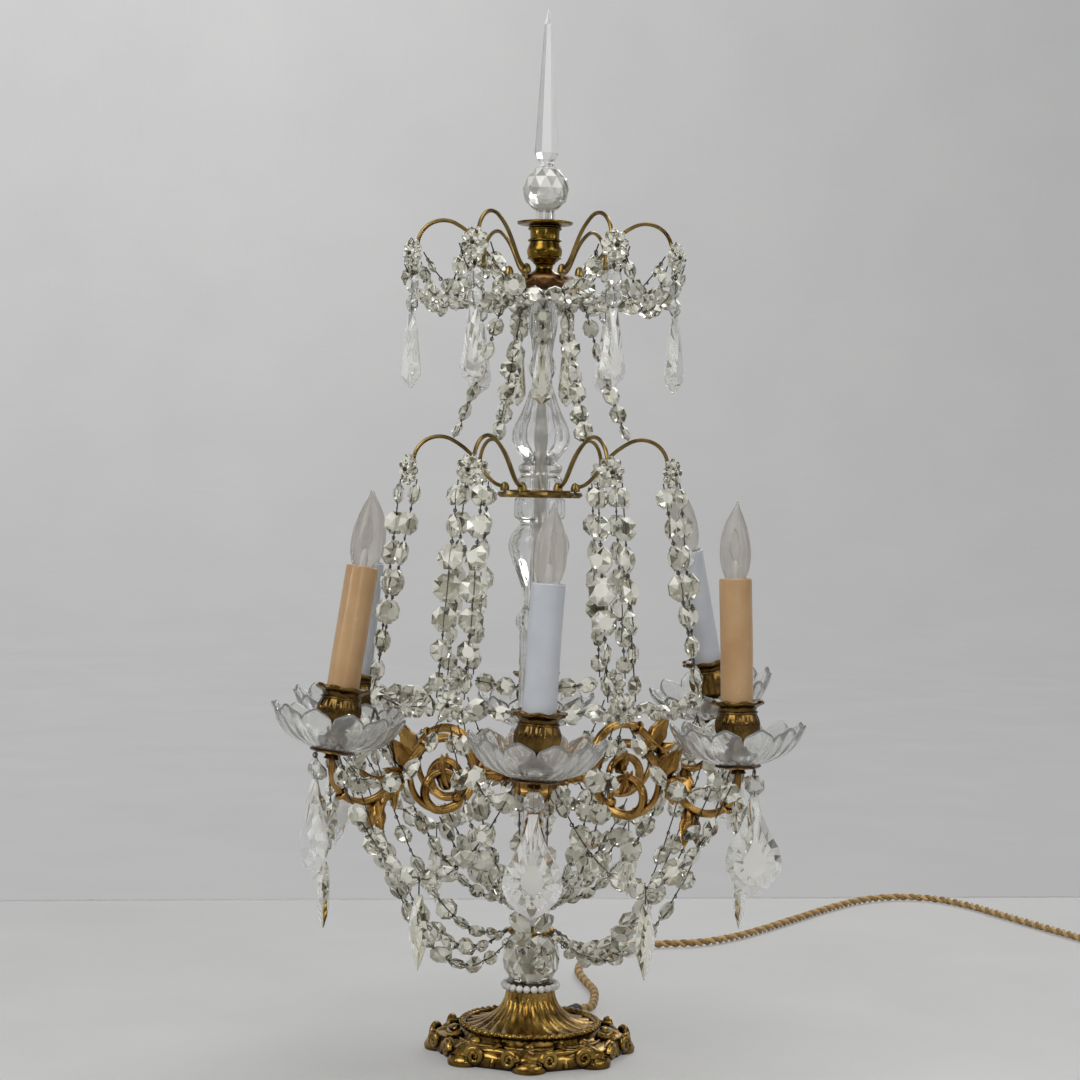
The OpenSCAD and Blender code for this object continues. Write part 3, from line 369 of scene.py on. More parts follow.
# Painted shade: its seventh value is the dark colour put into its hollows
crown_bronze = paint(
    "crown_bronze", (0.13, 0.06, 0.025), (0.35, 0.19, 0.08), 90, 1, (0.35, 0.5), (0.02, 0.01, 0.006), 0.0005,
)
wire = paint("wire", (0.035, 0.03, 0.025), (0.12, 0.10, 0.075), 200, 1, (0.3, 0.45))
steel = paint("steel", (0.2, 0.2, 0.21), (0.36, 0.36, 0.37), 120, 1, (0.35, 0.5))
tube_brass = paint("tube_brass", (0.55, 0.53, 0.48), (0.78, 0.76, 0.70), 150, 1, (0.3, 0.42))
ceramic = paint("ceramic", (0.74, 0.73, 0.70), (0.84, 0.83, 0.80), 60)
rubber = paint("rubber", (0.02, 0.02, 0.02), (0.045, 0.042, 0.04), 120, 0, (0.6, 0.75))
plastic = paint("plastic", (0.66, 0.62, 0.52), (0.74, 0.70, 0.60), 60, 0, (0.35, 0.45))
cream = paint("cream", (0.50, 0.30, 0.14), (0.575, 0.365, 0.185), 45, 0, (0.2, 0.3))
white = paint("white", (0.57, 0.59, 0.64), (0.65, 0.67, 0.71), 45, 0, (0.2, 0.3))
bead_white = glass("bead_white", (0.92, 0.92, 0.90), (1, 1, 0.99), 200, (0.1, 0.25), 0.05)
# Painted reflections and highlights: the first two stops are dark facets, the last two milky ones; the middle
# stop is the clear, warm glass
bead_crystal = cut_glass("bead_crystal", (
    (0, (0.10, 0.095, 0.06), 0.7),
    (0.06, (0.60, 0.58, 0.45), 0.9),
    (0.16, (0.99, 0.98, 0.91), 1),
    (0.46, (0.99, 0.97, 0.85), 0.6),
    (0.72, (1, 0.985, 0.88), 0.18),
))
# Painted highlights: the two less clear white stops are milky facets
spire_crystal = cut_glass("spire_crystal", (
    (0, (0.97, 0.975, 0.97), 0.7),
    (0.3, (1, 1, 1), 0.3),
    (0.5, (1, 1, 1), 0.02),
))
# Painted reflections and highlights: the two darker stops are dark facets, the last, less clear stop milky
# ones
drop_crystal = cut_glass("drop_crystal", (
    (0, (0.30, 0.29, 0.23), 0.9),
    (0.04, (0.80, 0.79, 0.73), 0.9),
    (0.16, (0.99, 0.985, 0.955), 0.8),
    (0.74, (0.99, 0.985, 0.95), 0.35),
))
pan_glass = glass("pan_glass", (0.94, 0.945, 0.92), (1, 1, 0.985), 70, (0.0, 0.03), 0.87, 1, 1.5)
stem_glass = glass("stem_glass", (0.93, 0.935, 0.93), (0.985, 0.99, 0.99), 60, (0.0, 0.03), 1, 0.85, 1.48)
bulb_glass = glass("bulb_glass", (0.66, 0.62, 0.575), (0.78, 0.745, 0.70), 50, (0.18, 0.3), 0.75, 0.85, 1.3)
silk = paint("silk", (0.52, 0.335, 0.125), (0.74, 0.52, 0.245), 900, 0, (0.5, 0.7))
silk_dark = paint("silk_dark", (0.27, 0.16, 0.05), (0.45, 0.285, 0.115), 900, 0, (0.5, 0.7))

# Pieces that keep their CAD shape, inside the foot, the stem and the sleeves
for node, material in (
    ("bottom_plate", steel), ("plate_screws", steel), ("cord_gland", rubber), ("terminal_block", ceramic),
    ("threaded_tube", tube_brass), ("inner_lead", ceramic), ("foot_nut", steel), ("lampholders", ceramic),
):
    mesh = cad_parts[node].data
    mesh.materials.clear()
    mesh.materials.append(material)

# Cord: two twisted strands along the route, then the coil and the plug
CORD_D = 6.5
LAY_Z = CORD_D / 2 + 0.05
GLAND_AZIMUTH = radians(67.5)
GLAND_MOUTH = 83.3
TABLE_ROUTE = (
    (45, 130), (46, 165), (40, 200), (36, 233), (40, 268), (53, 303), (76, 330), (106, 343),
    (136, 352), (162, 374), (190, 410), (225, 463), (263, 520), (298, 562), (332, 580), (362, 574),
    (386, 547), (408, 502), (429, 456), (450, 411), (468, 372),
)
COIL_HEADING = -65
COIL_R = 41
COIL_STEP = 7.2
COIL_TURNS = 2
COIL_RISE = CORD_D + 0.6
COIL_LEAD = CORD_D + 0.2
COIL_TAIL = 14
# Turns in on the table, half a turn up, and as many turns out on top
COIL_WHOLE = 2 * COIL_TURNS + 0.5
POINTS_PER_TURN = 36
CORD_STEP = 1.6
STEPS_PER_TWIST = 9
STRAND_OFF = 1.55
STRAND_R = 1.68


def on_gland(r, z):
    return r * cos(GLAND_AZIMUTH), r * sin(GLAND_AZIMUTH), z


def heading(angle):
    return Vector((cos(radians(angle)), sin(radians(angle)), 0))


def coil_point(turns_in):
    r = COIL_R - COIL_STEP * min(turns_in, COIL_WHOLE - turns_in)
    u = clamp((turns_in - COIL_TURNS) / 0.5)
    rise = COIL_RISE * u * u * (3 - 2 * u)
    return coil_middle + heading(COIL_HEADING - 90 + 360 * turns_in) * r + up(rise)


def evenly(path, step):
    """Points at equal steps along a path."""
    path = [Vector(p) for p in path]
    result = [path[0]]
    left = step
    for a, b in zip(path, path[1:]):
        length = (b - a).length
        while left <= length:
            result.append(a.lerp(b, left / length))
            left += step
        left -= length
    return result


route = [on_gland(GLAND_MOUTH - 4, 9), on_gland(GLAND_MOUTH + 8, 8), (42, 105, 5)]
route += [(x, y, LAY_Z) for x, y in TABLE_ROUTE]
coil_start = Vector(route[-1])
coil_middle = coil_start + heading(COIL_HEADING) * COIL_LEAD + heading(COIL_HEADING + 90) * COIL_R
route_line = rounded(route, 8)
coil_line = [coil_point(i / POINTS_PER_TURN) for i in range(int(COIL_WHOLE * POINTS_PER_TURN) + 1)]
cord_end = coil_line[-1] + heading(COIL_HEADING + 180) * COIL_TAIL
cord_line = evenly(route_line + coil_line + [cord_end], CORD_STEP)
cord_shape = Shape()
for strand in (0, 1):
    line = []
    for i, (point, across, other) in enumerate(frames_along(cord_line)):
        a = tau * i / STEPS_PER_TWIST + pi * strand
        line.append(point + (across * cos(a) + other * sin(a)) * STRAND_OFF)
    cord_shape.add(tube(line, STRAND_R, 6), kind=strand)
cord_object = make("silk_cord", cord_shape, [silk, silk_dark], ("cord", "cord_coil"))

# Plug: a round body with grip rings, lying on the table, and two pins
PLUG_L = 52
GRIP_Z = 26
GRIP_STEP = 6
PIN_R = 1.9
PIN_OFF = 9
plug_shape = Shape()
plug_r = cord_end.z
plug_outline = [
    (2, -1), (4.4, 0), (5.2, 8), (5.6, 11), (plug_r - 1, 18), (plug_r, 20),
    (plug_r, PLUG_L - 2), (plug_r - 1, PLUG_L), (2, PLUG_L),
]
plug_place = move(*cord_end) @ turn(COIL_HEADING + 180, "Z") @ turn(90, "Y")
plug_shape.add(lathe(plug_outline, 32, caps=True), plug_place)
for i in range(4):
    plug_shape.add(ring(plug_r - 0.65, 0.6, 32), plug_place @ lift(GRIP_Z + GRIP_STEP * i))
for side in (-1, 1):
    pin = [(PIN_R, PLUG_L - 1), (PIN_R, PLUG_L + 17), (PIN_R - 0.7, PLUG_L + 19)]
    plug_shape.add(lathe(pin, 16, caps=True), plug_place @ move(0, side * PIN_OFF, 0), 1)
plug = make("plug_body", plug_shape, [plastic, tube_brass], ("plug",))


# Foot: lobed scroll border, beaded step and fluted trumpet
FOOT_H = 40
LOBES = 8
FLUTES = 24
STEP_R = 43.5
STEP_Z = 17.5
STEP_BEADS = 56
NECK_R = 15.5
TRUMPET_Z = 18
TRUMPET_STEPS = 12
DISH_R = 44
foot = Shape()
trumpet = [(STEP_R, 17)]
for i in range(TRUMPET_STEPS + 1):
    a = pi / 2 * i / TRUMPET_STEPS
    trumpet.append((16 + 25.5 * (1 - sin(a)), TRUMPET_Z + (FOOT_H - TRUMPET_Z) * (1 - cos(a))))
trumpet += [(NECK_R, FOOT_H), (5, FOOT_H)]


def fluted(a, r, z):
    share = clamp((r - NECK_R) / 26)
    twist = a + 0.25 * (1 - share)
    cut = abs(sin(FLUTES / 2 * twist)) ** 0.5
    return r - (1 - cut) * (1.0 + 1.4 * share), z - (1 - cut) * 1.6 * share


foot.add(lathe(trumpet, 192, fluted))
foot.add(ring(STEP_R, 2.0, 96), lift(STEP_Z))
for i in range(STEP_BEADS):
    foot.add(ball(4.4, 8, 6), turn(360 / STEP_BEADS * i, "Z") @ move(44.2, 0, 18.2))


def embossed(a, r, z):
    """Lobes and ripples of the border, which fade out towards the table."""
    share = (r - DISH_R) / 20
    wave = cos(LOBES * a)
    ripple = sin(4 * LOBES * a + 3 * wave)
    relief = (0.9 * ripple + 0.8 * wave) * sin(pi * clamp(share)) * min(1, z / 6)
    return r + 2.2 * wave * max(0, share) ** 2, z + relief


def waved(a, r, z):
    return r + 1.4 * cos(LOBES * a), z


dish = [
    (DISH_R, 16.5), (47, 13.5), (50, 12.4), (53, 12.2), (56, 12.0), (59, 11),
    (61.5, 9), (62.5, 6.5), (62, 4), (60.5, 0.3), (52, 0.3),
]
foot.add(lathe(rounded(dish, 3), 192, embossed))
foot.add(ring(52, 1.3, 160, 8, waved), lift(12.2))
for i in range(LOBES):
    at_lobe = turn(360 / LOBES * i, "Z")
    base = [(11.4, 0.2), (11.8, 3), (10.2, 6), (6, 7.8), (0.6, 8.2)]
    foot.add(lathe(base, 32, caps=True), at_lobe @ move(57, 0, 0))
    for rib in (-2, -1, 0, 1, 2):
        fan = at_lobe @ move(47.5, 0, 10.4) @ turn(rib * 25, "Z") @ turn(17, "Y")
        foot.add(pebble(19 - abs(rib), 5.4, 6.4), fan @ move(10.5, 0, 0))
    foot.add(pebble(8, 8, 6.5), at_lobe @ move(48, 0, 12.6))
    scroll = tube(spiral(5.6, 1.6, 28), lambda u: 2.3 - 1.1 * u, 8)
    for side in (-1, 1):
        stand = move(61.5, side * 12.6, 7.8) @ turn(90 + side * 26, "Z") @ Matrix.Scale(-side, 4, (1, 0, 0))
        foot.add(scroll, at_lobe @ stand)
    between = turn(360 / LOBES * (i + 0.5), "Z")
    bow = []
    for s in range(13):
        a = radians(-15 + 2.5 * s)
        r = 59.5 - 3.2 * cos(6 * a)
        bow.append((r * cos(a), r * sin(a), 9.6 + 1.4 * cos(6 * a)))
    foot.add(tube(bow, lambda u: 1.3 + 1.2 * sin(pi * u), 8), between)
    for s in (-1, 0, 1):
        drop = between @ turn(7 * s, "Z") @ move(58.6, 0, 6.2) @ turn(58, "Y")
        foot.add(pebble(11 - 2 * abs(s), 4.6, 4.4), drop)
    foot.add(leaf(13, 9, 4, 1.5), between @ move(46.5, 0, 13.4) @ turn(98, "Y") @ turn(90, "Z"))
make("foot", foot, [gilt], ("base_foot",), sharp=50)

# Levels of the pieces on the stem, from the table up
BALL_Z = 60
CAP_Z = 75
SPINDLE_Z = 82
HUB_Z = 160
SHAFT_Z = 202
BALUSTER_Z = 274
RING_Z = 360
RING_TOP = 364
COLUMN_Z = 440
CROWN_Z = 495
CROWN_TOP = 505
FINIAL_Z = 561.5

# Collar of white glass beads on the neck
COLLAR_BEADS = 22
collar = Shape()
collar_line = [(4.6, 0.2), (14.6, 0.2), (14.6, 4.8), (4.6, 4.8)]
collar.add(lathe(collar_line, 48, loop=True), lift(FOOT_H), 1)
for i in range(COLLAR_BEADS):
    collar.add(ball(4.8, 14, 10), turn(360 / COLLAR_BEADS * i, "Z") @ move(17, 0, FOOT_H + 2.5))
make("collar", collar, [bead_white, gilt], ("bead_collar",))

# Glass stem: turned pieces with a bore for the tube
BORE = 4.5


def glass_piece(name, node, z, outline, sides=48, shift=None, steps=4):
    body = rounded(outline, steps)
    height = body[-1][1]
    shape = Shape()
    loop = [(BORE, 0)] + body + [(BORE, height)]
    shape.add(lathe(loop, sides, shift, loop=True), lift(z))
    make(name, shape, [stem_glass], (node,))


# Ball with rows of cut diamonds, flat above and below
def cut_ball_part(d, low, high, sides, rows):
    """Rows of points, every second row turned by half a step, joined by flat triangles."""
    points = []
    for i in range(rows + 1):
        z = low + (high - low) * (0.5 - 0.5 * cos(pi * i / rows))
        points += circle(sqrt(max(0, d * d / 4 - z * z)), z, sides, 0.5 * (i % 2))
    faces = []
    for i in range(rows):
        for s in range(sides):
            a = i * sides + s
            b = i * sides + (s + 1) % sides
            shift = i % 2
            c = (i + 1) * sides + (s + shift) % sides
            before = (i + 1) * sides + (s + shift - 1) % sides
            faces.append((a, b, c))
            faces.append((a, c, before))
    return points, faces + end_caps(rows + 1, sides)


ball_shape = Shape()
ball_shape.add(cut_ball_part(38, -14.9, 14.9, 14, 6), lift(BALL_Z), smooth=False)
make("cut_glass_ball", ball_shape, [bead_crystal], ("cut_ball",))


def milled(a, r, z):
    return r + 0.5 * cos(16 * a) * (r > 12), z


cap = Shape()
cap_line = [(5, 0.2), (13, 0.2), (14.6, 2), (15, 3.6), (13, 5), (10, 6.8), (5, 6.8)]
cap.add(lathe(rounded(cap_line, 3), 96, milled), lift(CAP_Z))
make("ball_cap_brass", cap, [gilt], ("ball_cap",))

spindle_line = [(10, 0), (11, 8), (14, 23), (12, 39), (8, 56), (9, 70), (11, 78)]
glass_piece("spindle_glass", "lower_spindle", SPINDLE_Z, spindle_line)
shaft_line = [(15.5, 0), (16.5, 6), (12.5, 11), (11.5, 16), (11.5, 40), (11.5, 72)]
glass_piece("shaft_glass", "stem_shaft", SHAFT_Z, shaft_line, 12, steps=3)
baluster_line = [
    (12, 0), (14, 3), (14, 8), (11, 12), (9, 18), (11, 28), (17, 44), (20, 54),
    (18, 62), (13, 68), (13, 71), (16.5, 74), (16.5, 84), (15, 86),
]
glass_piece("baluster_glass", "lower_baluster", BALUSTER_Z, baluster_line)


def vase_flutes(a, r, z):
    """Twelve hollows, deepest in the middle of the belly."""
    share = sin(pi * clamp((z - 19) / 54))
    return r - 2.0 * share * (1 - abs(cos(6 * a)) ** 0.7), z


vase_line = [
    (13, 0), (14.5, 3), (14.5, 8), (12.5, 11), (14, 14), (14, 17), (11, 20),
    (16, 27), (19, 34), (18, 42), (13, 52), (8, 66), (6, 72), (7.5, 76),
]
glass_piece("vase_glass", "fluted_vase", RING_TOP, vase_line, 96, vase_flutes)
column_line = [(7.5, 0), (9, 5), (7.5, 10), (6.5, 14), (7.5, 22), (9.5, 34), (8.5, 44), (7, 51), (10.5, 55)]
glass_piece("column_glass", "upper_column", COLUMN_Z, column_line)

# Hub of the arms, with a ring of leaves round it
LEAVES = 12
hub = Shape()
hub_line = [
    (5, 0.2), (14, 0.2), (17, 4), (21, 8), (22, 10), (21, 14),
    (21, 28), (22, 32), (21, 34), (17, 38), (14, 41.8), (5, 41.8),
]
hub.add(lathe(rounded(hub_line, 3), 72), lift(HUB_Z))
for i in range(LEAVES):
    stand = turn(360 / LEAVES * i, "Z") @ move(17, 0, HUB_Z + 3) @ turn(18, "Y") @ turn(-90, "Z")
    hub.add(leaf(13, 8, 2.5, 1.5), stand)
make("hub", hub, [arm_gilt], ("arm_hub",))


# Plates of the two tiers and the cup under the finial
def notched(a, r, z):
    return r - 1.6 * (r > 20) * abs(sin(9 * a)), z


plate = Shape()
plate_line = [(5, 0.2), (26, 0.2), (28, 2), (27, 3.8), (5, 3.8)]
plate.add(lathe(plate_line, 144, notched), lift(RING_Z))
plate.add(ring(19, 1.0, 72), lift(RING_TOP + 0.2))
make("ring_plate", plate, [bronze], ("middle_ring",))

crown = Shape()
crown_line = [(5, 0.2), (14, 0.2), (20, 1.4), (22.5, 4), (22, 7), (18, 9.8), (5, 9.8)]
crown.add(lathe(rounded(crown_line, 3), 72), lift(CROWN_Z))
for i in range(LEAVES):
    stand = turn(360 / LEAVES * i, "Z") @ move(13.5, 0, CROWN_Z + 7.5) @ turn(96, "Y") @ turn(90, "Z")
    crown.add(leaf(17, 13.5, 2.6, -3.2), stand)
make("crown_leaves", crown, [crown_bronze], ("crown_plate",))

finial_cup = Shape()
finial_cup_line = [
    (3, 0.2), (11, 0.2), (9, 2), (6, 4), (6, 7), (10, 11), (11.5, 16), (10, 21), (9.5, 24),
    (10, 31), (13, 32.6), (17.5, 33.4), (18, 34.4), (17.5, 35), (8, 35), (7, 34), (7, 22),
]
finial_cup.add(lathe(rounded(finial_cup_line, 3), 72), lift(CROWN_TOP))
for r, z in ((6.6, 8.2), (10.4, 11.5), (10.4, 23), (10.4, 30.5)):
    finial_cup.add(ring(r, 0.7, 64), lift(CROWN_TOP + z))
make("finial_cup", finial_cup, [top_gilt], ("top_cup",))


# Arms: X outwards, Z up, tilted about the stud and turned to their azimuth
ARM_STEP = 360 / ARM_COUNT
HUB_R = 22
ARM_Z = 181
PIVOT_R = 27.8
ARM_R = 146
DISC_Z = 195
ARM_TILT = (0, 1, 9, 0, 2, 3)
CANDLE_LEAN = (0, 1, 4, 0, 4, 6)
CANDLE_SIDE = (3, 0, 0, 0, 0, 0)
SCROLL = Vector((68, 0, 181))
SCROLL_R = 23
CURL_R = 12
BEND = Vector((124, 0, 185))
BEND_R = 22
SPAN = BEND - SCROLL
# Angle at which the line passes from the scroll to the bend
CROSS = degrees(atan2(SPAN.z, SPAN.x)) + 90 - degrees(asin((SCROLL_R + BEND_R) / SPAN.length))


def arm_azimuth(k):
    return -90 + ARM_STEP * k


def hook_azimuth(j):
    return arm_azimuth(j) + ARM_STEP / 2


def at_arm(k):
    pivot = turn(arm_azimuth(k), "Z") @ move(PIVOT_R, 0, ARM_Z)
    return pivot @ turn(-ARM_TILT[k], "Y") @ move(-PIVOT_R, 0, -ARM_Z)


def at_candle(k):
    return at_arm(k) @ move(ARM_R, 0, DISC_Z) @ turn(-CANDLE_LEAN[k], "Y") @ turn(-CANDLE_SIDE[k], "X")


def arc(middle, radius, start, end, steps):
    path = []
    for i in range(steps + 1):
        a = radians(start + (end - start) * i / steps)
        path.append(middle + Vector((cos(a), 0, sin(a))) * radius)
    return path


curl_line = arc(SCROLL - up(SCROLL_R - CURL_R), CURL_R, 560, 280, 26)
arm_line = curl_line + arc(SCROLL, SCROLL_R, 270, CROSS, 24) + arc(BEND, BEND_R, 180 + CROSS, 360, 22)
arm_line.append(Vector((ARM_R, 0, DISC_Z - 2)))


def arm_thickness(u):
    return 2.2 + 0.95 * sin(pi * min(1, u * 1.1))


# Leaves of an arm: place, turn about Y from upright, length, width
ARM_LEAVES = (
    ((90, 0, 183), 40, 26, 13),
    ((95, 0, 180), 78, 15, 8),
    ((65, 0, 171), 20, 17, 8),
    ((99, 0, 179), 165, 13, 9),
)
# Points of the arm's line that carry a ring
RING_POINTS = (50, 66)


def arm_part(k):
    shape = Shape()
    place = at_arm(k)
    shape.add(tube(arm_line, arm_thickness, 12), place)
    shape.add(tube(arc(SCROLL, SCROLL_R, 270, 360 + CROSS, 20), 2.1, 10), place)
    for side in (-1, 1):
        shape.add(tube(arm_line, lambda u: 0.45 * arm_thickness(u), 8), place @ move(0, side * 2.3, 0))
    stud = [(HUB_R - 1, 0, ARM_Z), (PIVOT_R, 0, ARM_Z), (SCROLL.x - SCROLL_R, 0, ARM_Z)]
    shape.add(tube(stud, lambda u: 4.6 - 1.4 * abs(2 * u - 1), 12), place)
    shape.add(ball(10.6, 16, 10), place @ move(PIVOT_R, 0, ARM_Z))
    shape.add(ball(7, 14, 10), place @ move(*curl_line[0]))
    shape.add(ring(4.2, 1.3, 24), place @ move(39, 0, ARM_Z) @ turn(90, "Y"))
    for at, lean, l, w in ARM_LEAVES:
        for side in (-1, 1):
            stand = place @ move(*at) @ move(0, side, 0) @ turn(lean, "Y") @ turn(side * 9, "Z")
            shape.add(leaf(l, w, 4.6, side * 2.5, 3), stand)
    crossing = BEND + Vector((cos(radians(200 + CROSS)), 0, sin(radians(200 + CROSS)))) * BEND_R
    for side in (-1, 1):
        pendant = leaf(27, 10, 4.4, side * 3, 3)
        shape.add(pendant, place @ move(*crossing) @ turn(180 + side * 27, "X"))
    for i in RING_POINTS:
        along = (arm_line[i + 1] - arm_line[i - 1]).normalized()
        lean = degrees(atan2(along.x, along.z))
        shape.add(ring(4.1, 1.1, 20), place @ move(*arm_line[i]) @ turn(lean, "Y"))
    disc = [(3, -6), (5, -5.4), (4, -3.4), (6, -2.4), (13, -1.9), (14.5, -1), (14, -0.1), (3, -0.1)]
    shape.add(lathe(disc, 48, caps=True), at_candle(k))
    return shape


for k in ARMS:
    make(f"scroll_arm_{k + 1}", arm_part(k), [arm_gilt], (f"arm_{k + 1}",), sharp=75)

# Drip pans: scalloped glass saucers with a rib to each scallop
PAN_R = 43
SCALLOPS = 12


def scalloped(a, r, z):
    share = max(0, (r - 15) / (PAN_R - 15))
    petal = abs(cos(SCALLOPS / 2 * a)) ** 0.55
    rib = 0.5 * share * cos(2 * SCALLOPS * a)
    height = z - 8 * share ** 3 * (1 - petal) + 0.9 * share * (petal - 0.5) + rib
    return r - 5.2 * share ** 2 * (1 - petal), height


pan_line = [
    (4.7, 0.1), (13.5, 0.1), (21, 2.5), (30, 6.2), (36, 12), (40.5, 18.5), (42.4, 22.6), (42.8, 24),
    (41, 23.6), (38.2, 19.5), (33.6, 13.6), (28.2, 8.8), (20, 5), (13.5, 2.6), (4.7, 2.5),
]
pan_loop = rounded(pan_line, 2)
pans = Shape()
for k in ARMS:
    pans.add(lathe(pan_loop, 240, scalloped, loop=True), at_candle(k) @ turn(15, "Z"))
make("glass_pans", pans, [pan_glass], ("drip_pans",), sharp=60)

# Candle cups with a ribbed belly and a spreading rim
cup_line = [
    (4, -0.1), (4.2, 2.6), (9, 2.6), (9.4, 4), (8.6, 5.4), (5.6, 9), (5.4, 12), (8, 14), (12, 17.5),
    (13.6, 22), (13.6, 27), (12.4, 31), (11.8, 33.5), (13, 36), (16.2, 38.4), (16.5, 39.6), (16, 40.4),
    (14, 40.4), (11, 38.5), (10.7, 36), (10.7, 22),
]
cup_loop = rounded(cup_line, 3)


def ribbed(a, r, z):
    belly = sin(pi * clamp((z - 12.5) / 20))
    rim = clamp((z - 35) / 4) * (r > 12)
    wide = r + 0.5 * belly * cos(20 * a) + 0.35 * rim * cos(16 * a)
    return wide, z + 0.5 * rim * cos(8 * a) - 0.5 * rim


cups = Shape()
for k in ARMS:
    cups.add(lathe(cup_loop, 120, ribbed), at_candle(k))
    for r, z in ((9.2, 4.1), (6, 11), (12.2, 32.6)):
        cups.add(ring(r, 0.75, 48), at_candle(k) @ lift(z))
make("brass_cups", cups, [cup_gilt], ("candle_cups",), sharp=45)

# Candle sleeves: card tubes with a rolled top edge, a little uneven
SLEEVE_Z = 20.5
SLEEVE_TOP = 115.5


def uneven(seed):
    return lambda a, r, z: (r + 0.12 * sin(3 * a + seed) * sin(z / 11 + seed), z)


def sleeve_part(seed):
    line = [(8.9, SLEEVE_Z + 0.2), (10.1, SLEEVE_Z + 0.2)]
    line += [(10.15, SLEEVE_Z + 0.2 + 10 * i) for i in range(1, 9)]
    line += [(10.2, 113.5), (10.1, 114.9), (9.6, SLEEVE_TOP), (9.0, 115.3), (8.9, 114)]
    return lathe(line, 48, uneven(seed), loop=True)


for name, node, arms, material, slot in (
    ("cream_candles", "cream_sleeves", (1, 5), cream, "cream_sleeve"),
    ("white_candles", "white_sleeves", (0, 2, 3, 4), white, "white_sleeve"),
):
    candles = Shape()
    for k in arms:
        candles.add(sleeve_part(k), at_candle(k))
    make(name, candles, [material], (node,))

# Flame bulbs: thin glass, a pulled tip, a metal cap and the wire inside
flame_line = [
    (6.4, 113), (6.6, 116), (8.0, 119.5), (9.2, 124), (9.7, 130), (9.5, 136), (8.6, 142),
    (7.0, 148), (5.0, 153), (3.0, 157), (1.6, 160), (0.9, 162), (0.5, 163.4),
]
screw_line = [(6.3, 94), (6.5, 96), (6.2, 98), (6.5, 100), (6.2, 102), (6.5, 104), (6.3, 112.8)]
mount_line = [(2.6, 113.4), (2.2, 120), (1.2, 127)]
FLAME_H = 48
TIP_FROM = 140
TIP_BEND = 2.2


def bent_tip(part):
    """The pulled tip of a flame leans outwards."""
    points, faces = part
    moved = []
    for x, y, z in points:
        u = max(0, (z - TIP_FROM) / (SLEEVE_TOP + FLAME_H - TIP_FROM))
        moved.append((x + TIP_BEND * u * u, y, z))
    return moved, faces


for k in ARMS:
    flame = Shape()
    node = f"bulb_{k + 1}"
    place = at_candle(k)
    flame.add(bent_tip(lathe(rounded(flame_line, 3), 40, caps=True)), place)
    flame.add(lathe(screw_line, 32, caps=True), place, 1)
    flame.add(lathe(mount_line, 16, caps=True), place, 2)
    for side in (-1, 1):
        support = [(side * 1, 0, 126), (side * 3, 0, 134), (side * 1.2, 0, 143), (0, 0, 146)]
        flame.add(tube(support, 0.3, 5), place, 1)
    make(f"flame_{node}", flame, [bulb_glass, tube_brass, bead_white], (node,), node)

# Hooks: wire from a rivet on the plate, up and over, with a knob at the tip
CROOK_R = 17
CROOK_AT = 66
CROOK_UP = 18
CROOK_STEPS = 30
HOOK_DROP = 5
RIVET_R = 23
STEM_STEPS = 12
rivet_line = [(1, -3.6), (1, 0.3), (3.1, 0.4), (3, 3), (2, 5.4), (0.6, 6.2)]


def tip_z(plate_top):
    return plate_top + CROOK_UP - HOOK_DROP


def hook_line(plate_top):
    """The crook from the tip over its top, then a curve that comes in flat to the rivet."""
    middle = Vector((CROOK_AT, 0, plate_top + CROOK_UP))
    root = Vector((RIVET_R, 0, plate_top + 3.3))
    reach = root - middle
    touch = 360 + degrees(atan2(reach.z, reach.x)) - degrees(acos(CROOK_R / reach.length))
    over = [middle + Vector((CROOK_R, 0, -HOOK_DROP))] + arc(middle, CROOK_R, 0, touch - 14, CROOK_STEPS)
    along = (over[-1] - over[-2]).normalized()
    reach = (root - over[-1]).length
    near = over[-1] + along * reach * 0.5
    flat = root + Vector((reach * 0.3, 0, 0))
    for i in range(1, STEM_STEPS + 1):
        u = i / STEM_STEPS
        v = 1 - u
        start = over[CROOK_STEPS] * v ** 3
        over.append(start + near * 3 * v * v * u + flat * 3 * v * u * u + root * u ** 3)
    return over


hooks = Shape()
for plate_top in (RING_TOP, CROWN_TOP):
    for j in ARMS:
        place = turn(hook_azimuth(j), "Z")
        hooks.add(tube(hook_line(plate_top), 1.3, 10), place)
        hooks.add(lathe(rivet_line, 20, caps=True), place @ move(RIVET_R, 0, plate_top))
        hooks.add(ball(4, 12, 8), place @ move(CROOK_AT + CROOK_R, 0, tip_z(plate_top)))
make("wire_hooks", hooks, [bronze], ("tier_hooks",))


# Crystals: cut octagon beads, rosettes and drops, all with flat facets
def cut_bead(d, t):
    """An octagon in XY with a girdle, eight corner facets on each face and a table."""
    r = d / 2
    points = []
    rows = ((0.5 * r, -t / 2, 0), (r, -0.09 * t, 0.5), (r, 0.09 * t, 0.5), (0.5 * r, t / 2, 0))
    for radius, z, offset in rows:
        points += circle(radius, z, 8, offset)
    faces = end_caps(len(rows), 8)
    for s in range(8):
        n = (s + 1) % 8
        faces.append((8 + s, 8 + n, 16 + n, 16 + s))
        faces.append((16 + s, 16 + n, 24 + n))
        faces.append((16 + s, 24 + n, 24 + s))
        faces.append((8 + n, 8 + s, n))
        faces.append((8 + s, s, n))
    return points, faces


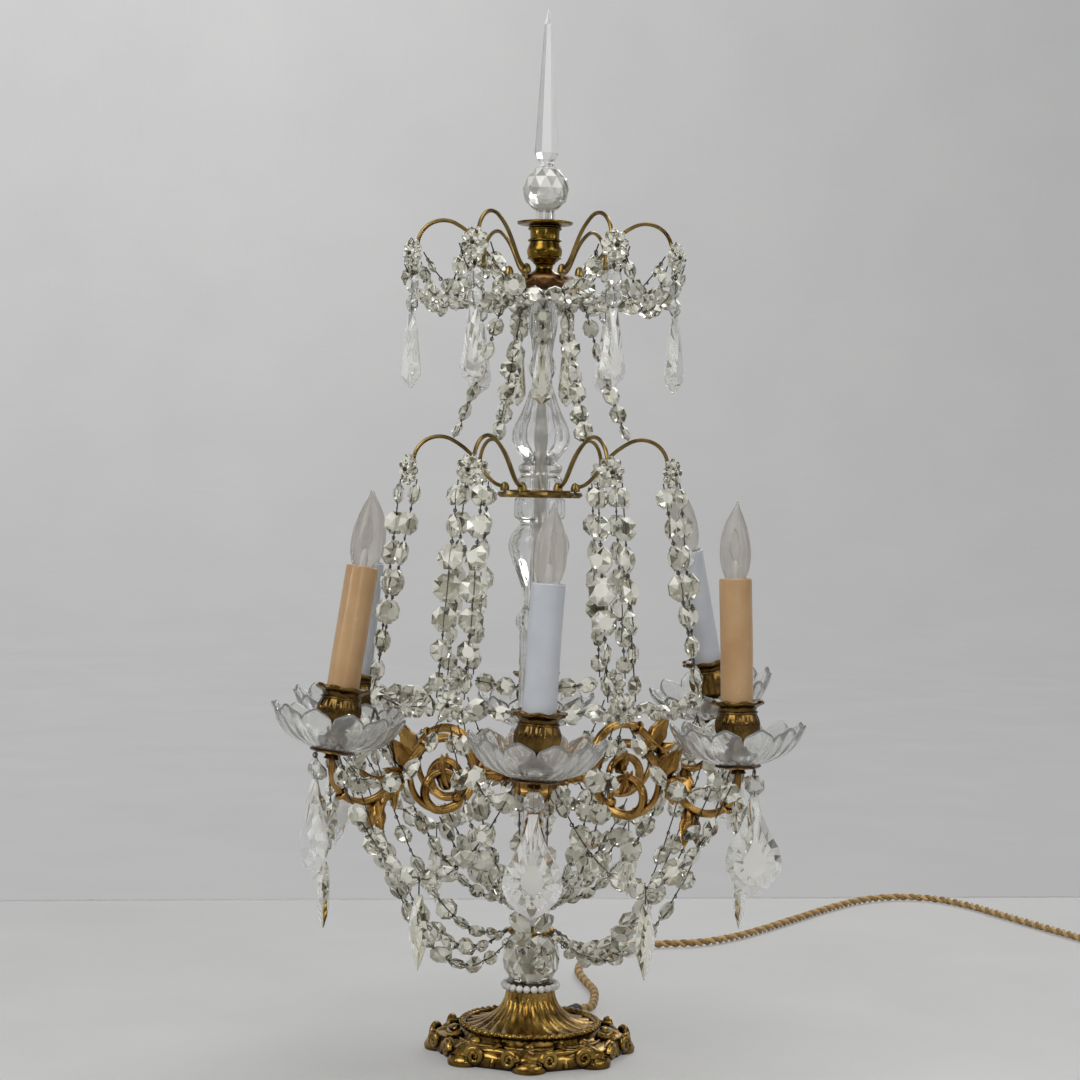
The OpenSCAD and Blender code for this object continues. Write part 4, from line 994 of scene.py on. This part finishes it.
def cut_drop(l, w, t, profile, rows=9):
    """A flat drop along -Z, facets round a long table on both faces; profile gives shares of its width."""
    def half(u):
        for (a, low), (b, high) in zip(profile, profile[1:]):
            if u <= b:
                return w / 2 * (low + (high - low) * (u - a) / (b - a))
        return 0

    rim = [(half(i / rows), -l * i / rows) for i in range(rows)]
    rim = rim + [(0, -l)] + [(-x, z) for x, z in reversed(rim)]
    count = len(rim)
    wide = -l * max(profile, key=lambda p: p[1])[0]
    points = []
    for share, y in ((1, -0.06), (0.74, -0.36), (0.42, -0.5), (1, 0.06), (0.74, 0.36), (0.42, 0.5)):
        for i, (x, z) in enumerate(rim):
            near = rim[(i + 1) % count] if 0.5 < share < 1 else (x, z)
            px = 0.5 * (x + near[0])
            pz = 0.5 * (z + near[1])
            points.append((px * share, y * t, wide + (pz - wide) * share))
    faces = []
    for i in range(count):
        n = (i + 1) % count
        faces.append((i, n, 3 * count + n, 3 * count + i))
        for base, flip in ((0, 1), (3 * count, 0)):
            outer, middle, inner = base, base + count, base + 2 * count
            strip = (
                (outer + i, outer + n, middle + i), (outer + n, middle + n, middle + i),
                (middle + i, inner + n, inner + i), (middle + i, middle + n, inner + n),
            )
            for face in strip:
                faces.append(face if flip else tuple(reversed(face)))
    faces.append(tuple(2 * count + i for i in range(count)))
    faces.append(tuple(reversed([5 * count + i for i in range(count)])))
    return points, faces


PEAR = (
    (0, 0.16), (0.14, 0.22), (0.34, 0.52), (0.52, 0.9), (0.66, 1),
    (0.77, 0.93), (0.88, 0.66), (0.96, 0.3), (1, 0),
)
PRISM = ((0, 0.3), (0.12, 0.46), (0.5, 0.74), (0.78, 1), (0.93, 0.76), (1, 0))
SPEAR = ((0, 0.36), (0.2, 0.62), (0.45, 1), (0.6, 0.95), (0.8, 0.52), (1, 0))


def rosette_part(d, petals=9):
    """A glass daisy facing +Z."""
    shape = Shape()
    petal = cut_bead(5.6, 3.4)
    stretch = Matrix.Diagonal((1.45, 1.05, 1, 1))
    for i in range(petals):
        shape.add(petal, turn(360 / petals * i, "Z") @ move(d / 2 - 4.1, 0, 1.8) @ stretch)
    shape.add(cut_bead(d * 0.42, 4), lift(2.2))
    return shape.points, shape.faces


def polar(r, azimuth, t, z):
    """A point r out in the direction of an azimuth and t across it."""
    a = radians(azimuth)
    return Vector((r * cos(a) - t * sin(a), r * sin(a) + t * cos(a), z))


def sag_point(a, b, sag, u):
    return a + (b - a) * u - up(4 * sag * u * (1 - u))


def graded(sizes, u):
    """Bead size along a string, from the first through the middle to the last."""
    if u < 0.5:
        return sizes[0] + (sizes[1] - sizes[0]) * 2 * u
    return sizes[1] + (sizes[2] - sizes[1]) * (2 * u - 1)


BEAD_D = 16
WIRE_R = 0.45
GLASS, LINK = 0, 1


def string(shape, a, b, sag, beads, sizes, twist=64):
    """Beads on links of wire from a to b, each turned a little its own way."""
    shares = [0] + [(i + 0.5) / beads for i in range(beads)] + [1]
    for u, v in zip(shares, shares[1:]):
        shape.add(tube([sag_point(a, b, sag, u), sag_point(a, b, sag, v)], WIRE_R, 5), kind=LINK)
        joint = sag_point(a, b, sag, (u + v) / 2)
        link = move(*joint) @ turn(random.uniform(0, 180), "Z") @ turn(90, "X")
        shape.add(ring(1.1, 0.35, 8, 4), link, LINK)
    for u in shares[1:-1]:
        point = sag_point(a, b, sag, u)
        step = sag_point(a, b, sag, u + 0.5 / beads) - sag_point(a, b, sag, u - 0.5 / beads)
        d = min(BEAD_D * graded(sizes, u), step.length - 0.3)
        along = step.normalized()
        out = Vector((point.x, point.y, 0)).normalized()
        out = (out - along * out.dot(along)).normalized()
        across = out.cross(along)
        place = Matrix((along, across, out)).transposed().to_4x4()
        place.translation = point
        roll = turn(random.uniform(-twist, twist), "X") @ turn(random.uniform(-9, 9), "Y")
        shape.add(cut_bead(d, d * 0.46), place @ roll, GLASS, False)


# Rosettes on the hook tips and, lower down, between the arms; strings start at their rims
ROSETTE_D = 21
ROSETTE_IN = 85.3
ROSETTE_MID = 1.2
RIM_GAP = 0.9
ROSETTE_EDGE = ROSETTE_D / 2 + RIM_GAP
LOW_R = 104
LOW_Z = 232
LOW_EDGE = LOW_Z - ROSETTE_EDGE
TIP_R = CROOK_AT + CROOK_R
ROSETTE_TURN = (0, -40, 0, 0, 40, 0)
SIDE_T = 9
HANG_R = 12.5
HANG_Z = -2.9


def rosette_rim(t):
    return sqrt((ROSETTE_D / 2) ** 2 - t * t) + RIM_GAP


def rosette_point(j, t, z):
    """A point in the middle of the thickness of the rosette on hook j, t across it."""
    facing = hook_azimuth(j) + ROSETTE_TURN[j]
    return polar(TIP_R, hook_azimuth(j), 0, z) + polar(ROSETTE_IN - TIP_R + ROSETTE_MID, facing, t, 0)


def tier_side(j, side, plate_top):
    return rosette_point(j, side * SIDE_T, tip_z(plate_top) - rosette_rim(SIDE_T))


def low_point(j, t, z):
    return polar(LOW_R + ROSETTE_MID, hook_azimuth(j), t, z)


def hang_point(k, angle):
    """A point under the rim of the disc of arm k."""
    return at_candle(k) @ polar(HANG_R, angle, 0, HANG_Z)


def make_strings(name, shape, node):
    make(name, shape, [bead_crystal, wire], (node,))


rosette = rosette_part(ROSETTE_D)
rosettes = Shape()
for j in ARMS:
    on_hook = turn(hook_azimuth(j), "Z")
    turned = on_hook @ move(TIP_R, 0, 0) @ turn(ROSETTE_TURN[j], "Z") @ move(ROSETTE_IN - TIP_R, 0, 0)
    places = (
        turned @ lift(tip_z(RING_TOP)),
        turned @ lift(tip_z(CROWN_TOP)),
        on_hook @ move(LOW_R, 0, LOW_Z),
    )
    for place in places:
        facing = place @ turn(90, "Y") @ turn(random.uniform(0, 40), "Z")
        rosettes.add(rosette, facing, GLASS, False)
        rosettes.add(ball(3, 8, 6), facing @ lift(4.4), LINK)
make_strings("glass_rosettes", rosettes, "rosettes")

# Crown strings: swags between rosettes, chains to the lower hooks, strings to the rims, and inner drops
CROWN_RIM = 24
CROWN_RIM_Z = 496.1
CHAIN_OFF = 18.6
CHAIN_TOUCH = radians(119)
CHAIN_END_R = CROOK_AT + CHAIN_OFF * cos(CHAIN_TOUCH)
CHAIN_END_Z = RING_TOP + CROOK_UP + CHAIN_OFF * sin(CHAIN_TOUCH)
INNER_R = 18.5
INNER_L = 36
crown_chain = Shape()
for j in ARMS:
    n = (j + 1) % ARM_COUNT
    azimuth = hook_azimuth(j)
    string(crown_chain, tier_side(j, 1, CROWN_TOP), tier_side(n, -1, CROWN_TOP), 26, 6, (0.8, 1, 0.8))
    start = polar(CROWN_RIM, azimuth, 0, CROWN_RIM_Z)
    string(crown_chain, start, polar(CHAIN_END_R, azimuth, 0, CHAIN_END_Z), 6, 7, (0.7, 0.9, 0.8))
    for side in (-1, 1):
        start = polar(CROWN_RIM, azimuth + side * 24, 0, CROWN_RIM_Z)
        edge = rosette_point(j, side * ROSETTE_EDGE, tip_z(CROWN_TOP))
        string(crown_chain, start, edge, 20, 5, (0.6, 0.85, 0.5))
    start = polar(INNER_R, arm_azimuth(j), 0, CROWN_Z)
    end = start - up(INNER_L)
    string(crown_chain, start, end, 0, 3, (0.7, 0.85, 0.7))
    hang = Matrix.Translation(end + up(1.2)) @ turn(arm_azimuth(j) + 90, "Z")
    crown_chain.add(cut_drop(40, 15, 9, PRISM), hang, GLASS, False)
make_strings("crown_chains", crown_chain, "crown_strings")

# Curtain strings: two from each middle rosette down to the low one
LOW_SIDE_T = 10
curtain = Shape()
for j in ARMS:
    for side in (-1, 1):
        end = low_point(j, side * LOW_SIDE_T, LOW_Z + rosette_rim(LOW_SIDE_T))
        string(curtain, tier_side(j, side, RING_TOP), end, 0, 7, (0.85, 1.18, 0.74))
make_strings("curtain_chains", curtain, "curtain_strings")

# Arm garlands: festoons to the low rosettes, strings between these, and swags with a spear drop
SWAG = 66
STEEP = 5
garland = Shape()
for j in ARMS:
    n = (j + 1) % ARM_COUNT
    for arm, angle, across in ((j, 100, -6), (n, -100, 6)):
        string(garland, hang_point(arm, angle), low_point(j, across, LOW_EDGE), 26, 5, (0.72, 1.18, 0.72))
    if ARM_TILT[n] < STEEP:
        start = low_point(j, ROSETTE_EDGE, LOW_Z)
        string(garland, start, low_point(n, -ROSETTE_EDGE, LOW_Z), 5, 6, (0.85, 1.1, 0.85))
    ends = (hang_point(j, 65), hang_point(n, -65))
    string(garland, *ends, SWAG, 10, (0.85, 1, 0.85))
    low = sag_point(*ends, SWAG, 0.5)
    garland.add(tube([low, low - up(10.5)], WIRE_R, 5), kind=LINK)
    hang = Matrix.Translation(low - up(9.4)) @ turn(hook_azimuth(j) + 90, "Z")
    garland.add(cut_drop(46, 14, 8, SPEAR), hang, GLASS, False)
make_strings("arm_chains", garland, "arm_garlands")

# Basket strings: from the discs to the cap, and from the low rosettes and the scrolls to the spindle
BASKET_SAG = 44
SIDE_SAG = 13
CAP_END_R, CAP_END_Z = 15.9, 78.15
LOW_END_R, LOW_END_Z = 13.4, 97.6
HIGH_END_R, HIGH_END_Z = 14.9, 105.4
basket = Shape()
for j in ARMS:
    for side in (-1, 1):
        sag = BASKET_SAG + 2.1 * ARM_TILT[j] + (SIDE_SAG if side > 0 else 0)
        end = polar(CAP_END_R, arm_azimuth(j) + side * 18, 0, CAP_END_Z)
        string(basket, hang_point(j, side * 135), end, sag, 10, (0.7, 1.06, 0.4))
    end = polar(LOW_END_R, hook_azimuth(j), 0, LOW_END_Z)
    string(basket, low_point(j, 0, LOW_EDGE), end, 34, 10, (0.72, 1.12, 0.48))
    under = at_arm(j) @ (SCROLL - up(SCROLL_R + 4.4))
    string(basket, under, polar(HIGH_END_R, arm_azimuth(j), 0, HIGH_END_Z), 14, 5, (0.85, 1.1, 0.6))
make_strings("basket_chains", basket, "basket_strings")


# Drops that swing, each on its own body
LOOP_L = 3
BEAD_GAP = 0.5
PEAR_TURN = (0, -55, 0, 0, 0, 0)


def hanging(pivot, azimuth, beads, bead_d, part):
    """A loop and beads under a pivot, and a drop under them."""
    shape = Shape()
    place = move(*pivot) @ turn(azimuth, "Z")
    drop_z = -LOOP_L - beads * (bead_d + BEAD_GAP)
    shape.add(tube([(0, 0, 0.4), (0, 0, drop_z - 1.5)], WIRE_R, 6), place, LINK)
    shape.add(ring(1.5, 0.4, 12, 5), place @ lift(-1.4) @ turn(90, "X"), LINK)
    for i in range(beads):
        at = lift(-LOOP_L - bead_d / 2 - i * (bead_d + BEAD_GAP)) @ turn(90, "Y")
        shape.add(cut_bead(bead_d, bead_d * 0.5), place @ at, GLASS, False)
    shape.add(part, place @ lift(drop_z) @ turn(90, "Z"), GLASS, False)
    return shape


for k in ARMS:
    node = f"pear_drop_{k + 1}"
    pivot = at_candle(k) @ Vector((11.5, 0, -2.8))
    shape = hanging(pivot, arm_azimuth(k) + PEAR_TURN[k], 1, 13, cut_drop(62, 36, 12, PEAR, 12))
    make(f"pear_{k + 1}", shape, [drop_crystal, wire], (node,), node)
    node = f"crown_drop_{k + 1}"
    pivot = rosette_point(k, 0, tip_z(CROWN_TOP) - ROSETTE_D / 2 - 0.8)
    shape = hanging(pivot, hook_azimuth(k) + ROSETTE_TURN[k], 2, 12, cut_drop(49, 19, 9, PRISM))
    make(f"prism_{k + 1}", shape, [drop_crystal, wire], (node,), node)

# Finial: cut ball on a stub, and the obelisk over it
finial = Shape()
finial.add(cut_ball_part(31, -15.2, 14.5, 12, 6), lift(FINIAL_Z), smooth=False)
stub = [(6.3, 526.5), (6.4, 530), (6.2, 538), (6, 547)]
finial.add(lathe(stub, 24, caps=True))
make("finial_cut_ball", finial, [drop_crystal], ("finial_ball",), "finial")
spire = Shape()
neck = [(5.2, 576.1), (5.4, 578), (4.6, 579), (5.2, 580.4)]
spire.add(lathe(neck, 24, caps=True))
obelisk = [(5.8, 580.3), (8.3, 584.6), (3.1, 669), (0.3, 679.8)]
spire.add(lathe(obelisk, 8, caps=True), turn(22.5, "Z"), smooth=False)
make("obelisk", spire, [spire_crystal], ("spire",), "finial")


# Stage: a pale table with a seam at its far edge, and a floor behind it that curves up into a wall
STAGE_SCALE = 5
STAGE_ROUGH = (0.75, 0.9)


def woven(name, dark, light):
    """A dull pale surface with a faint weave."""
    material = paint(name, dark, light, STAGE_SCALE, 0, STAGE_ROUGH)
    nodes = material.node_tree.nodes
    shader = shader_of(material)
    shader.inputs["Specular IOR Level"].default_value = 0.15
    colour = shader.inputs["Base Color"].links[0].from_socket
    place = nodes["Texture Coordinate"].outputs["Object"]
    for stretch in ((10, 10, 420), (420, 420, 10)):
        stretched = add_node(nodes, "Mapping", vector=place, scale=stretch).outputs["Vector"]
        threads = add_node(nodes, "TexNoise", vector=stretched, scale=1, detail=3).outputs["Fac"]
        strength = add_range(nodes, threads, to_min=0.975, to_max=1.025)
        colour = add_mix(nodes, 1, colour, strength, "MULTIPLY")
    feed(shader, base_color=colour)
    return material


def add_pair(nodes, kind, first, second, operation=None):
    """A node for two inputs that are told apart by their order."""
    node = nodes.new("ShaderNode" + kind)
    if operation:
        node.operation = operation
    node.id_data.links.new(first, node.inputs[0])
    node.id_data.links.new(second, node.inputs[1])
    return node.outputs[0]


def painted_glow(material, low, high, shaded):
    """Painted light: a glow, paler to the upper left, for what camera, metal and glass see; shaded adds the
    lamps' light.
    """
    nodes = material.node_tree.nodes
    surface = shader_of(material).outputs["BSDF"]
    colour = shader_of(material).inputs["Base Color"].links[0].from_socket
    place = add_node(nodes, "SeparateXYZ", vector=nodes["Texture Coordinate"].outputs["Object"])
    across = add_range(nodes, place.outputs["X"], from_min=1.3, from_max=-0.7)
    upwards = add_range(nodes, place.outputs["Z"], from_min=0, from_max=1.7, to_min=0.28)
    share = add_pair(nodes, "Math", across, upwards, "MULTIPLY")
    level = add_range(nodes, share, to_min=low, to_max=high)
    glow = add_node(nodes, "Emission", color=colour, strength=level).outputs["Emission"]
    if shaded:
        glow = add_pair(nodes, "AddShader", surface, glow)
    rays = add_node(nodes, "LightPath")
    seen = rays.outputs["Is Camera Ray"]
    for kind in ("Is Glossy Ray", "Is Transmission Ray"):
        seen = add_pair(nodes, "Math", seen, rays.outputs[kind], "MAXIMUM")
    mix = add_node(nodes, "MixShader", fac=seen)
    material.node_tree.links.new(surface, mix.inputs[1])
    material.node_tree.links.new(glow, mix.inputs[2])
    feed(nodes["Material Output"], surface=mix.outputs["Shader"])
    return material


REACH = 40000
TABLE_Z = -0.2
SEAM_Z = -5
EDGE_Y = 550
EDGE_RISE = 0.8
EDGE_YAW = tan(radians(7.3))
SWEEP_Y = 3300
SWEEP_R = 1000
SWEEP_STEPS = 16
WALL_H = 3000
TABLE, WALL, SEAM = range(3)
profile = [
    (-REACH, TABLE_Z), (EDGE_Y, TABLE_Z), (EDGE_Y + 0.3, SEAM_Z), (EDGE_Y + 2.5, SEAM_Z),
    (EDGE_Y + 2.8, EDGE_RISE), (SWEEP_Y, EDGE_RISE),
]
for i in range(1, SWEEP_STEPS + 1):
    a = pi / 2 * i / SWEEP_STEPS
    profile.append((SWEEP_Y + SWEEP_R * sin(a), EDGE_RISE + SWEEP_R * (1 - cos(a))))
profile.append((SWEEP_Y + SWEEP_R, WALL_H))
points = []
for x in (-REACH, REACH):
    for y, z in profile:
        yaw = x * EDGE_YAW if EDGE_Y <= y < SWEEP_Y else 0
        points.append(Vector((x, y + yaw, z)) * MM)
rows = len(profile)
sheet_faces = [(i, rows + i, rows + i + 1, i + 1) for i in range(rows - 1)]
kinds = [TABLE] + 3 * [SEAM] + (rows - 5) * [WALL]
mesh = bpy.data.meshes.new("backdrop")
mesh.from_pydata(points, [], sheet_faces)
mesh.polygons.foreach_set("use_smooth", [True] * len(sheet_faces))
table = woven("table", (0.595, 0.595, 0.59), (0.615, 0.615, 0.61))
wall = woven("wall", (0.625, 0.625, 0.625), (0.645, 0.645, 0.642))
# Painted light: the table and the wall glow, paler to the upper left, for camera, metal and glass
mesh.materials.append(painted_glow(table, 0.33, 0.69, True))
mesh.materials.append(painted_glow(wall, 0.67, 0.99, False))
# Painted shade: the groove is shaped, but its paint is a little darker than the table's and gets no glow, so
# it shows as a dark line along the table's far edge
mesh.materials.append(paint("seam_shade", (0.55, 0.55, 0.55), (0.6, 0.6, 0.6), STAGE_SCALE, 0, STAGE_ROUGH))
mesh.polygons.foreach_set("material_index", kinds)
sweep = bpy.data.objects.new("backdrop", mesh)
scene.collection.objects.link(sweep)


# Lamps: a large one from the upper left, weaker ones round it and small ones for glints in the glass
def lamp(name, place, target, size, power):
    data = bpy.data.lights.new(name, "AREA")
    data.shape = "DISK"
    data.size = size
    data.energy = power
    obj = bpy.data.objects.new(name, data)
    obj.location = place
    obj.visible_camera = False
    obj.rotation_euler = (Vector(target) - Vector(place)).to_track_quat("-Z", "Y").to_euler()
    scene.collection.objects.link(obj)


lamp("key", (-1.3, -1.5, 1.7), (0, 0.1, 0.3), 1.5, 21)
lamp("fill", (1.6, -1.2, 1.2), (0, 0.1, 0.3), 1.0, 6)
lamp("top", (0.1, -0.2, 2.1), (0, 0, 0.2), 1.4, 11)
lamp("rim", (0.8, 1.6, 1.5), (0, 0, 0.35), 1.0, 9)
GLINTS = ((-0.5, -1.4, 1.1), (0.7, -1.3, 0.9), (0.2, -1.5, 0.45), (-1.0, -0.5, 0.5), (1.1, -0.2, 0.7))
for i, place in enumerate(GLINTS):
    lamp(f"glint_{i + 1}", place, (0, 0, 0.3), 0.05, 0.6)

# Surroundings: patches of light and dark that the crystals pick up
world = bpy.data.worlds.new("room")
scene.world = world
world.use_nodes = True
nodes = world.node_tree.nodes
coords = add_node(nodes, "TexCoord")
patches = add_node(nodes, "TexNoise", vector=coords.outputs["Generated"], scale=2.6, detail=2)
tones = add_ramp(nodes, patches.outputs["Fac"], ((0.42, (0.03, 0.03, 0.028)), (0.60, (1, 1, 1))))
feed(nodes["Background"], color=tones, strength=0.42)

scene.view_settings.view_transform = "Standard"
